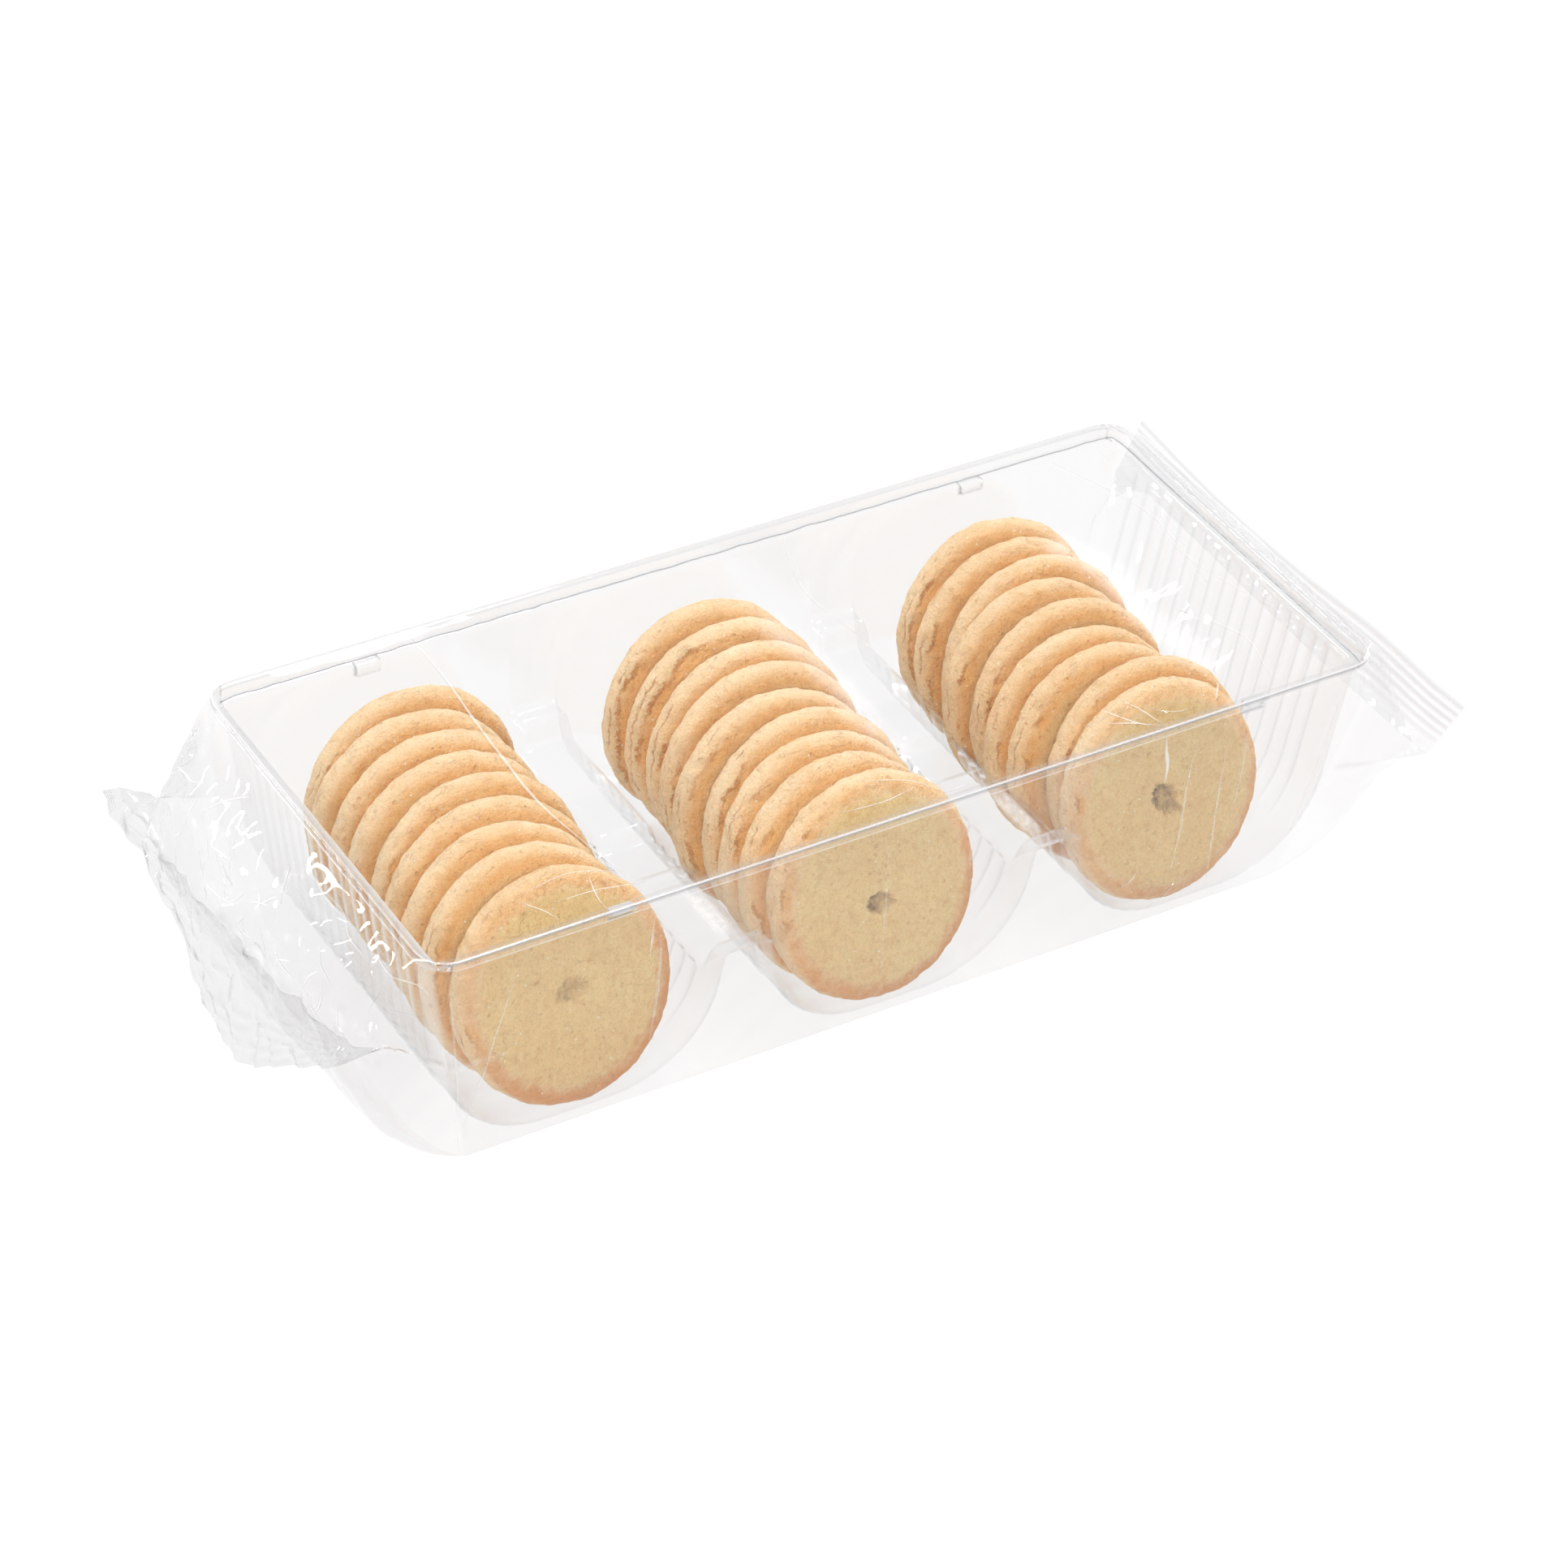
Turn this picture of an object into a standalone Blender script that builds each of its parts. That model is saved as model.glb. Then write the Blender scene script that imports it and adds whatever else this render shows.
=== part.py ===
"""Sealed tray pack of sugar cookies, as one closed solid of its wrapped outer form.

A clear rigid tray, 280 mm long with an outward rim, stands in a flow-wrapped
film tube. The film lies flat over the rim, runs straight down both long sides
to the flat base, and tapers beyond each short end to a crimped seal. The left
seal hangs down like a curtain, with its lower edge turned up at both ends.
The right seal stands out and up. Units are metres, +Z is up, +X runs along the
tray, and the low side of Y is the near long side.
"""

import math

import bmesh
import bpy

MM = 0.001

# Tray and wrap, in millimetres
TRAY_LENGTH = 280.0        # over the rim
TRAY_WIDTH = 122.0         # over the rim
TRAY_HEIGHT = 69.0         # rim top above the ground
FILM_STANDOFF = 0.7        # film over the rim
BASE_HALF_WIDTH = 57.2     # wrap at the ground, each side of the tray's middle
SIDE_CORNER = 2.4          # radius of the four long edges
SEAL_THICKNESS = 0.9       # the two film layers with their crimps
MIDDLE = (3.1, 8.5)        # tray coordinates of the pack's own middle

HALF_TOP = TRAY_WIDTH / 2 + FILM_STANDOFF
TOP = TRAY_HEIGHT + FILM_STANDOFF

# Number of points round one section
CORNER_STEPS = 4
FLAT_STEPS = 13
SIDE_STEPS = 3

# Stations from left to right. Each holds the foot of the section (x, z), its
# head (x, z), its near and far reach in Y at the foot, the same at the head.
STATIONS = (
    ((-161.4, 7.0), (-162.3, 7.3), (-60.0, 77.5), (-60.0, 77.5)),      # lower edge of the left seal
    ((-160.9, 18.0), (-161.8, 18.3), (-60.3, 77.2), (-60.3, 77.2)),
    ((-160.3, 30.0), (-161.2, 30.3), (-60.6, 76.8), (-60.6, 76.8)),
    ((-159.4, 40.6), (-160.1, 41.3), (-61.0, 76.0), (-61.0, 76.0)),    # where the left seal begins
    ((-155.4, 28.0), (-158.2, 51.5), (-59.0, 72.0), (-61.0, 72.5)),
    ((-148.0, 11.5), (-153.2, 60.5), (-57.5, 65.0), (-61.2, 66.5)),
    ((-139.5, 1.5), (-146.6, 66.8), (-57.0, 59.0), (-61.4, 63.0)),
    ((-133.0, 0.0), (-140.6, TOP), (-BASE_HALF_WIDTH, BASE_HALF_WIDTH), (-HALF_TOP, HALF_TOP)),
    ((-70.0, 0.0), (-70.0, TOP), (-BASE_HALF_WIDTH, BASE_HALF_WIDTH), (-HALF_TOP, HALF_TOP)),
    ((0.0, 0.0), (0.0, TOP), (-BASE_HALF_WIDTH, BASE_HALF_WIDTH), (-HALF_TOP, HALF_TOP)),
    ((70.0, 0.0), (70.0, TOP), (-BASE_HALF_WIDTH, BASE_HALF_WIDTH), (-HALF_TOP, HALF_TOP)),
    ((130.0, 0.0), (140.6, TOP), (-BASE_HALF_WIDTH, BASE_HALF_WIDTH), (-HALF_TOP, HALF_TOP)),
    ((136.5, 3.5), (145.0, 64.0), (-55.5, 57.0), (-61.0, 62.0)),
    ((144.0, 12.0), (150.0, 54.5), (-53.0, 62.0), (-60.5, 68.0)),
    ((151.5, 22.5), (154.6, 44.0), (-56.0, 74.0), (-61.5, 77.0)),
    ((158.0, 33.2), (157.2, 34.2), (-62.0, 86.0), (-62.0, 86.0)),      # where the right seal begins
    ((163.3, 41.0), (162.5, 42.0), (-66.0, 86.5), (-66.0, 86.5)),
    ((168.6, 48.8), (167.8, 49.8), (-69.5, 86.0), (-69.5, 86.0)),      # upper edge of the right seal
)
BETWEEN = 3                # sections made from one station to the next

# The left seal hangs from its top line to its lower edge. The film there slopes
# down towards the far side, and the lower edge rises towards both ends
SEAL_TOP, SEAL_FOOT, SEAL_SLOPE = 41.0, 7.0, 0.10
FAR_RISE, FAR_REACH, FAR_TURN = 33.0, 77.5, 1.2
NEAR_RISE, NEAR_REACH, NEAR_TURN = 33.0, 61.0, 1.3
# Slow waves along the loose film and the seals
WAVE, WAVE_LENGTH = 1.1, 47.0


def clear_scene():
    for obj in list(bpy.data.objects):
        bpy.data.objects.remove(obj, do_unlink=True)
    for collection in list(bpy.data.collections):
        bpy.data.collections.remove(collection)


def mix(a, b, t):
    if isinstance(a, tuple):
        return tuple(mix(p, q, t) for p, q in zip(a, b))
    return a + (b - a) * t


def ease(t):
    """Half straight, half eased, so that the ends bulge a little between stations."""
    return 0.55 * t + 0.45 * (t * t * (3 - 2 * t))


def loose(x):
    """0 over the tray, 1 in the seals."""
    t = min(max((abs(x + 1.0) - 139.0) / 16.0, 0.0), 1.0)
    return t * t * (3 - 2 * t)


def outline(foot_y, head_y, height):
    """Points of one section as (y, share of the height), near foot first, then round by the far side."""
    radius = min(SIDE_CORNER, 0.46 * height)
    near_foot, far_foot = foot_y
    near_head, far_head = head_y
    lean_near = (near_head - near_foot) / height
    lean_far = (far_head - far_foot) / height
    points = []

    def corner(y, z, toward_y, start):
        # quarter turn about a centre set in from the corner by the radius
        sign_z = 1 if z == 0 else -1
        for k in range(CORNER_STEPS):
            angle = math.radians(start + 90.0 * k / (CORNER_STEPS - 1))
            points.append(
                (
                    y + toward_y * radius + radius * math.cos(angle),
                    z + sign_z * radius + radius * math.sin(angle),
                )
            )

    def straight(y0, z0, y1, z1, steps):
        for k in range(1, steps + 1):
            t = k / (steps + 1)
            points.append((y0 + (y1 - y0) * t, z0 + (z1 - z0) * t))

    corner(near_foot, 0, 1, 180.0)
    straight(near_foot + radius, 0.0, far_foot - radius, 0.0, FLAT_STEPS)
    corner(far_foot, 0, -1, 270.0)
    straight(
        far_foot + lean_far * radius,
        radius,
        far_head - lean_far * radius,
        height - radius,
        SIDE_STEPS,
    )
    corner(far_head, height, -1, 0.0)
    straight(far_head - radius, height, near_head + radius, height, FLAT_STEPS)
    corner(near_head, height, 1, 90.0)
    straight(
        near_head - lean_near * radius,
        height - radius,
        near_foot + lean_near * radius,
        radius,
        SIDE_STEPS,
    )
    return [(y, z / height) for y, z in points]


def section(station):
    """One ring of world points, in metres."""
    (foot_x, foot_z), (head_x, head_z), foot_y, head_y = station
    height = math.hypot(head_x - foot_x, head_z - foot_z)
    ring = []
    for y, s in outline(foot_y, head_y, max(height, SEAL_THICKNESS)):
        x = mix(foot_x, head_x, s)
        z = mix(foot_z, head_z, s)
        free = loose(x)
        if x < 0.0:
            z -= free * SEAL_SLOPE * y
            if height < 1.3:
                hang = min(max((SEAL_TOP - mix(foot_z, head_z, s)) / (SEAL_TOP - SEAL_FOOT), 0.0), 1.0)
                if y > 0.0:
                    z += hang * FAR_RISE * (y / FAR_REACH) ** FAR_TURN
                else:
                    z += hang * NEAR_RISE * (-y / NEAR_REACH) ** NEAR_TURN
        wave = math.sin(2 * math.pi * y / WAVE_LENGTH + (0.6 if x > 0 else 2.1))
        x += free * WAVE * wave
        z = max(z, 0.0)
        ring.append(((x - MIDDLE[0]) * MM, (y - MIDDLE[1]) * MM, z * MM))
    return ring


def stations():
    for first, second in zip(STATIONS, STATIONS[1:]):
        flat = first[0][1] == second[0][1] and first[1][1] == second[1][1]
        steps = 1 if flat else BETWEEN
        for k in range(steps):
            yield mix(first, second, ease(k / steps))
    yield STATIONS[-1]


def loft(name, rings):
    """A closed body through the rings, with a flat cap at each end."""
    mesh = bpy.data.meshes.new(name)
    bm = bmesh.new()
    rows = [[bm.verts.new(p) for p in ring] for ring in rings]
    for low, high in zip(rows, rows[1:]):
        count = len(low)
        for k in range(count):
            n = (k + 1) % count
            bm.faces.new((low[k], high[k], high[n], low[n]))
    # caps as strips between the foot and the head of the thin end section
    for row, turn in ((rows[0], 1), (rows[-1], -1)):
        count = len(row)
        start = CORNER_STEPS - 1
        foot = [row[(start + k) % count] for k in range(FLAT_STEPS + 2)]
        # the head's flat run, in the same order as the foot's
        head_start = CORNER_STEPS + FLAT_STEPS + CORNER_STEPS + SIDE_STEPS + CORNER_STEPS - 1
        head = [row[(head_start + FLAT_STEPS + 1 - k) % count] for k in range(FLAT_STEPS + 2)]
        for k in range(FLAT_STEPS + 1):
            quad = (foot[k], foot[k + 1], head[k + 1], head[k])
            bm.faces.new(quad if turn > 0 else quad[::-1])
        near = [row[k % count] for k in range(head_start + FLAT_STEPS + 1, count + start + 1)]
        far = [row[k % count] for k in range(start + FLAT_STEPS + 1, head_start + 1)]
        bm.faces.new(near if turn > 0 else near[::-1])
        bm.faces.new(far if turn > 0 else far[::-1])
    bmesh.ops.recalc_face_normals(bm, faces=bm.faces)
    bmesh.ops.triangulate(bm, faces=bm.faces)
    bm.to_mesh(mesh)
    bm.free()
    return bpy.data.objects.new(name, mesh)


def clear_film_material():
    material = bpy.data.materials.new("clear_film")
    material.use_nodes = True
    shader = material.node_tree.nodes["Principled BSDF"]
    shader.inputs["Base Color"].default_value = (0.93, 0.93, 0.92, 1.0)
    shader.inputs["Roughness"].default_value = 0.08
    shader.inputs["Metallic"].default_value = 0.0
    return material


def main():
    clear_scene()
    collection = bpy.data.collections.new("cookie_tray_pack")
    bpy.context.scene.collection.children.link(collection)
    pack = loft("pack", [section(station) for station in stations()])
    pack.data.materials.append(clear_film_material())
    collection.objects.link(pack)
    pack.data.shade_smooth()
    pack.data.set_sharp_from_angle(angle=math.radians(35.0))


main()
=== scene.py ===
"""Looks for a sealed tray pack of sugar cookies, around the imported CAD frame.

Three kinds of piece replace the CAD solid: the film wrap, the clear tray and
the cookies. All shapes are worked out in the tray's own millimetres (x along
the length, y across with the near side negative, z up from the ground) and
moved into the part's frame in metres at the end.
"""

import math

import bpy
import numpy as np
from mathutils import Matrix, Vector


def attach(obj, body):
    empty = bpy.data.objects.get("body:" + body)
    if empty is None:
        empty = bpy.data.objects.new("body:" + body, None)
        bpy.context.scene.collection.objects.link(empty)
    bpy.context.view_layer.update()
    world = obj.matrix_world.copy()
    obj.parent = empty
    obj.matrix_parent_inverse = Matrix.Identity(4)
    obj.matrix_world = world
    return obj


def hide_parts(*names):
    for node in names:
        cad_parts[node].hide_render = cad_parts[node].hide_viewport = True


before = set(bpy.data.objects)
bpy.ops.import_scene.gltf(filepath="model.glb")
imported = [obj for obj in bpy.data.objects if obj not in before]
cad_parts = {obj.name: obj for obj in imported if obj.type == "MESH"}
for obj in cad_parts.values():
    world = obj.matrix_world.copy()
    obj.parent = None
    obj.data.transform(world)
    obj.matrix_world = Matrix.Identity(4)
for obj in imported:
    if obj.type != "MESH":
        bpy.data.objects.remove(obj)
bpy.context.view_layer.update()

MM = 0.001
MIDDLE = np.array([3.1, 8.5, 0.0])   # tray millimetres of the part's own origin

# ----------------------------------------------------------------- noise


class Noise:
    """Smooth gradient noise on points (n, 3), about -1 to 1, the same each run."""

    def __init__(self, seed):
        rng = np.random.RandomState(seed)
        self.table = np.concatenate([rng.permutation(256)] * 3)
        g = rng.normal(size=(256, 3))
        self.grad = g / np.linalg.norm(g, axis=1, keepdims=True)

    def __call__(self, p):
        p = np.asarray(p, float)
        cell = np.floor(p).astype(int)
        f = p - cell
        w = f * f * f * (f * (f * 6 - 15) + 10)
        total = np.zeros(len(p))
        for dx in (0, 1):
            for dy in (0, 1):
                for dz in (0, 1):
                    h = self.table[(cell[:, 0] + dx) & 255]
                    h = self.table[h + ((cell[:, 1] + dy) & 255)]
                    h = self.table[h + ((cell[:, 2] + dz) & 255)] & 255
                    d = f - (dx, dy, dz)
                    weight = (
                        (w[:, 0] if dx else 1 - w[:, 0])
                        * (w[:, 1] if dy else 1 - w[:, 1])
                        * (w[:, 2] if dz else 1 - w[:, 2])
                    )
                    total += weight * np.einsum("ij,ij->i", self.grad[h], d)
        return total * 1.6


def smooth(low, high, value):
    t = np.clip((np.asarray(value, float) - low) / (high - low), 0.0, 1.0)
    return t * t * (3 - 2 * t)


def spline(knots, values, at):
    """Smooth curve (Catmull-Rom on uneven knots) through values at the knots."""
    knots = np.asarray(knots, float)
    values = np.asarray(values, float)
    if values.ndim == 1:
        values = values[:, None]
    slopes = np.gradient(values, knots, axis=0)
    at = np.clip(np.asarray(at, float), knots[0], knots[-1])
    i = np.clip(np.searchsorted(knots, at) - 1, 0, len(knots) - 2)
    h = (knots[i + 1] - knots[i])[:, None]
    t = ((at - knots[i])[:, None]) / h
    a, b = values[i], values[i + 1]
    ma, mb = slopes[i] * h, slopes[i + 1] * h
    out = (
        (2 * t**3 - 3 * t**2 + 1) * a
        + (t**3 - 2 * t**2 + t) * ma
        + (-2 * t**3 + 3 * t**2) * b
        + (t**3 - t**2) * mb
    )
    return out[:, 0] if out.shape[1] == 1 else out


def crumple(p, seed, waves, short, long):
    """Folded-sheet relief: straight creases in many directions, about -0.5 to 0.5."""
    rng = np.random.RandomState(seed)
    warp = Noise(seed + 71)
    q = p + 2.0 * np.stack([warp(p / 17.0 + k * 9.1) for k in range(3)], axis=1)
    total = np.zeros(len(p))
    size = 0.0
    for _ in range(waves):
        n = rng.normal(size=3)
        n /= np.linalg.norm(n)
        length = short * (long / short) ** rng.rand()
        phase = rng.rand()
        part = np.abs(((q @ n) / length + phase) % 1.0 - 0.5) * 2 - 0.5
        gate = smooth(-0.25, 0.35, warp(p / (1.4 * length) + 31.0 * rng.rand()))
        total += part * gate * length
        size += (0.5 * length) ** 2
    return total / math.sqrt(size)


class Facets:
    """Relief of flat triangles between random heights on points (n, 2), -1 to 1."""

    def __init__(self, seed):
        rng = np.random.RandomState(seed)
        self.table = np.concatenate([rng.permutation(256)] * 2)
        self.value = rng.rand(256) * 2 - 1

    def __call__(self, q, turn=0.0, long=1.0):
        c, s = math.cos(turn), math.sin(turn)
        x, y = q[:, 0] * c + q[:, 1] * s, (-q[:, 0] * s + q[:, 1] * c) / long
        skew = (x + y) * 0.3660254
        x, y = x + skew, y + skew
        i, j = np.floor(x).astype(int), np.floor(y).astype(int)
        fx, fy = x - i, y - j

        def corner(a, b):
            return self.value[self.table[self.table[(i + a) & 255] + ((j + b) & 255)]]

        first = corner(0, 0) * (1 - np.maximum(fx, fy))
        last = corner(1, 1) * np.minimum(fx, fy)
        return first + last + np.where(fx > fy, corner(1, 0) * (fx - fy), corner(0, 1) * (fy - fx))


# ------------------------------------------------------------ mesh helpers


def grid_faces(rows, cols, wrap_cols=False):
    """Quads between neighbouring rows of points."""
    last = cols if wrap_cols else cols - 1
    i = np.arange(rows - 1)[:, None]
    j = np.arange(last)[None, :]
    n = (j + 1) % cols
    quads = np.stack(
        [
            (i * cols + j).ravel(),
            (i * cols + n).ravel(),
            ((i + 1) * cols + n).ravel(),
            ((i + 1) * cols + j).ravel(),
        ],
        axis=1,
    )
    return quads


def make_object(name, points, faces, material, channels=None, crease=None):
    """An object from tray millimetres, placed in the part's own frame."""
    mesh = bpy.data.meshes.new(name)
    verts = (np.asarray(points) - MIDDLE) * MM
    mesh.from_pydata(verts.tolist(), [], [tuple(int(i) for i in f) for f in faces])
    mesh.validate()
    for label, values in (channels or {}).items():
        layer = mesh.color_attributes.new(label, "FLOAT_COLOR", "POINT")
        layer.data.foreach_set("color", np.ascontiguousarray(values, np.float32).ravel())
    mesh.shade_smooth()
    if crease:
        mesh.set_sharp_from_angle(angle=math.radians(crease))
    mesh.materials.append(material)
    obj = bpy.data.objects.new(name, mesh)
    bpy.context.scene.collection.objects.link(obj)
    return obj


# --------------------------------------------------------------- materials


class Graph:
    """Short hand for building a material's nodes."""

    def __init__(self, name):
        self.material = bpy.data.materials.new(name)
        self.material.use_nodes = True
        self.nodes = self.material.node_tree.nodes
        self.links = self.material.node_tree.links
        self.nodes.clear()
        self.out = self.nodes.new("ShaderNodeOutputMaterial")

    def add(self, kind, **values):
        node = self.nodes.new("ShaderNode" + kind)
        for key, value in values.items():
            setattr(node, key, value)
        return node

    def put(self, socket, value):
        if isinstance(value, bpy.types.NodeSocket):
            self.links.new(value, socket)
        else:
            socket.default_value = value

    def math(self, operation, a, b=0.0, c=None, clamp=False):
        node = self.add("Math", operation=operation, use_clamp=clamp)
        self.put(node.inputs[0], a)
        self.put(node.inputs[1], b)
        if c is not None:
            self.put(node.inputs[2], c)
        return node.outputs[0]

    def mix(self, factor, a, b, blend="MIX"):
        node = self.add("Mix", data_type="RGBA", blend_type=blend)
        self.put(node.inputs[0], factor)
        self.put(node.inputs[6], a)
        self.put(node.inputs[7], b)
        return node.outputs[2]

    def ramp(self, factor, stops):
        node = self.add("ValToRGB")
        ramp = node.color_ramp
        while len(ramp.elements) < len(stops):
            ramp.elements.new(0.5)
        for element, (place, colour) in zip(ramp.elements, stops):
            element.position = place
            element.color = colour if len(colour) == 4 else (*colour, 1.0)
        self.put(node.inputs[0], factor)
        return node.outputs[0]

    def noise(self, vector, scale, detail=3.0, rough=0.5, distortion=0.0):
        node = self.add("TexNoise")
        self.put(node.inputs["Vector"], vector)
        node.inputs["Scale"].default_value = scale
        node.inputs["Detail"].default_value = detail
        node.inputs["Roughness"].default_value = rough
        node.inputs["Distortion"].default_value = distortion
        return node.outputs["Fac"]

    def mapping(self, scale, rotation=(0, 0, 0)):
        coord = self.add("TexCoord")
        node = self.add("Mapping")
        self.put(node.inputs["Vector"], coord.outputs["Object"])
        node.inputs["Scale"].default_value = scale
        node.inputs["Rotation"].default_value = rotation
        return node.outputs["Vector"]


def srgb(r, g, b):
    """Linear colour from 0 to 255 display values."""
    def one(c):
        c /= 255.0
        return c / 12.92 if c <= 0.04045 else ((c + 0.055) / 1.055) ** 2.4
    return (one(r), one(g), one(b), 1.0)


def dough_material():
    g = Graph("baked_dough")
    place = g.mapping((1, 1, 1))

    def channels(name):
        looks = g.add("Attribute", attribute_name=name)
        parts = g.add("SeparateColor")
        g.put(parts.inputs[0], looks.outputs["Color"])
        return parts.outputs[0], parts.outputs[1], parts.outputs[2], looks.outputs["Alpha"]

    crack_shade, brown, pit_shade, on_face = channels("looks")
    far_a, much_a, far_b, much_b = channels("cracks")
    groove_shade, luck, inner, _ = channels("tone")
    own = g.add("Attribute", attribute_name="local")

    def stretched(scale):
        node = g.add("Mapping")
        g.put(node.inputs["Vector"], own.outputs["Vector"])
        node.inputs["Scale"].default_value = scale
        return node.outputs[0]

    broad = g.noise(place, 55.0, 3.0, 0.55)
    patch = g.noise(place, 230.0, 4.0, 0.62, 0.4)
    grain = g.noise(place, 1300.0, 4.0, 0.68)
    fine = g.noise(place, 3600.0, 2.0, 0.6)
    ragged = g.math("MULTIPLY", g.math("SUBTRACT", g.noise(place, 900.0, 3.0, 0.6), 0.5), 1.1)

    def band(d, low, high):
        step = g.add("MapRange", interpolation_type="SMOOTHSTEP")
        g.put(step.inputs[0], d)
        step.inputs[1].default_value, step.inputs[2].default_value = low, high
        return step.outputs[0]

    # the broken ledge: a pale lip, a dark line under it painted as shade, then the bare inside down to the near face
    d_a = g.math("ADD", far_a, ragged)
    d_b = g.math("ADD", far_b, ragged)
    inside = g.math("MULTIPLY", g.math("MULTIPLY", band(d_a, -0.05, 0.15), g.math("SUBTRACT", 1.0, g.math("MULTIPLY", band(d_a, 0.4, 2.4), 0.80))), much_a)
    under = g.math("MULTIPLY", g.math("MULTIPLY", band(d_a, -0.05, 0.10), band(d_a, 0.42, 0.12)), much_a)
    fissure = g.math("MULTIPLY", g.math("MULTIPLY", band(d_b, -0.05, 0.08), band(d_b, 0.50, 0.12)), much_b)
    lines = g.math("MAXIMUM", under, g.math("MULTIPLY", fissure, 0.85))
    lip = g.math("MULTIPLY", g.math("MULTIPLY", band(d_a, -0.55, -0.15), band(d_a, 0.02, -0.12)), much_a)

    # wrinkles and short fissures that run round the edge
    wrinkle = g.noise(stretched((0.32, 0.32, 0.62)), 1.0, 4.0, 0.62, 0.3)
    thread = g.noise(stretched((0.13, 0.13, 0.42)), 1.0, 3.0, 0.55, 0.6)
    thread = g.math("ABSOLUTE", g.math("SUBTRACT", thread, 0.5))
    thread = g.ramp(thread, [(0.006, (1, 1, 1)), (0.022, (0, 0, 0))])
    thread = g.math("MULTIPLY", thread, g.ramp(g.noise(place, 150.0, 2.0, 0.5), [(0.54, (0, 0, 0)), (0.64, (1, 1, 1))]))
    thread = g.math("MULTIPLY", thread, g.math("SUBTRACT", 1.0, on_face))
    # small pores
    holes = g.add("TexVoronoi", feature="F1")
    g.put(holes.inputs["Vector"], place)
    holes.inputs["Scale"].default_value = 430.0
    chosen = g.add("SeparateColor")
    g.put(chosen.inputs[0], holes.outputs["Color"])
    pores = g.math("SUBTRACT", holes.outputs["Distance"], g.math("MULTIPLY", chosen.outputs[1], 0.14))
    pores = g.ramp(g.math("ADD", pores, g.math("MULTIPLY", g.noise(place, 2000.0, 2.0, 0.6), 0.12)), [(0.12, (1, 1, 1)), (0.21, (0, 0, 0))])
    pores = g.math("MULTIPLY", pores, g.math("GREATER_THAN", chosen.outputs[0], 0.74))

    edge = g.ramp(broad, [(0.30, srgb(*EDGE_WARM)), (0.70, srgb(*EDGE_PALE))])
    # painted shade: the near part of each edge, where the next cookie shades it, is mixed toward an orange groove
    # colour
    edge = g.mix(g.math("MULTIPLY", groove_shade, 0.50), edge, srgb(*GROOVE_SHADE))
    face = g.ramp(broad, [(0.30, srgb(*FACE_WARM)), (0.70, srgb(*FACE_PALE))])
    mottle = g.noise(place, 480.0, 5.0, 0.7)
    streaks = g.noise(g.mapping((1.0, 1.0, 0.25)), 330.0, 3.0, 0.6)
    face = g.mix(g.ramp(streaks, [(0.38, (0.16, 0.16, 0.16)), (0.62, (0, 0, 0))]), face, srgb(*FACE_DULL))
    face = g.mix(g.ramp(mottle, [(0.54, (0, 0, 0)), (0.68, (0.45, 0.45, 0.45))]), face, srgb(*SPOT))
    face = g.mix(g.ramp(g.noise(place, 1050.0, 3.0, 0.7), [(0.35, (0.55, 0.55, 0.55)), (0.46, (0, 0, 0))]), face, srgb(*FACE_DULL))
    # short fine cracks in the flat of the face, darkened as painted shade
    bent = g.add("VectorMath", operation="ADD")
    shift = g.add("TexNoise")
    g.put(shift.inputs["Vector"], place)
    shift.inputs["Scale"].default_value = 260.0
    less = g.add("VectorMath", operation="SCALE")
    g.put(less.inputs[0], shift.outputs["Color"])
    less.inputs["Scale"].default_value = 0.006
    g.put(bent.inputs[0], place)
    g.put(bent.inputs[1], less.outputs[0])
    web = g.add("TexVoronoi", feature="DISTANCE_TO_EDGE")
    g.put(web.inputs["Vector"], bent.outputs[0])
    web.inputs["Scale"].default_value = 125.0
    thin = g.ramp(web.outputs["Distance"], [(0.010, (1, 1, 1)), (0.026, (0, 0, 0))])
    craze = g.math("MULTIPLY", thin, g.ramp(g.noise(place, 120.0, 2.0, 0.5), [(0.58, (0, 0, 0)), (0.66, (1, 1, 1))]))
    craze = g.math("MULTIPLY", craze, on_face)
    face = g.mix(g.math("MULTIPLY", craze, 0.34), face, srgb(*CRAZE_SHADE))
    colour = g.mix(on_face, edge, face)
    # painted shade: the near faces of the cookies behind take the same orange groove colour
    colour = g.mix(inner, colour, srgb(*GROOVE_SHADE))
    spots = g.math("MULTIPLY", g.ramp(patch, [(0.50, (0, 0, 0)), (0.68, (1, 1, 1))]), 0.34)
    colour = g.mix(spots, colour, srgb(*SPOT))
    uneven = g.math("SUBTRACT", g.math("ADD", g.math("MULTIPLY", mottle, 0.6), g.math("MULTIPLY", patch, 0.4)), 0.5)
    toast = g.math("MULTIPLY", band(g.math("ADD", brown, g.math("MULTIPLY", uneven, 1.8)), 0.05, 1.15), 0.90)
    colour = g.mix(toast, colour, srgb(*TOAST))
    colour = g.mix(g.math("MULTIPLY", inside, 0.52, clamp=True), colour, srgb(*CRACK))
    # painted shade: dark lines at the bottom of the ledge and of the fissures
    colour = g.mix(g.math("MULTIPLY", lines, 0.52, clamp=True), colour, srgb(*FISSURE_SHADE))
    # painted shade: threads and pores are darkened like the fissures
    colour = g.mix(g.math("MULTIPLY", thread, 0.20), colour, srgb(*FISSURE_SHADE))
    colour = g.mix(g.math("MULTIPLY", pores, 0.20), colour, srgb(*FISSURE_SHADE))
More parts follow.
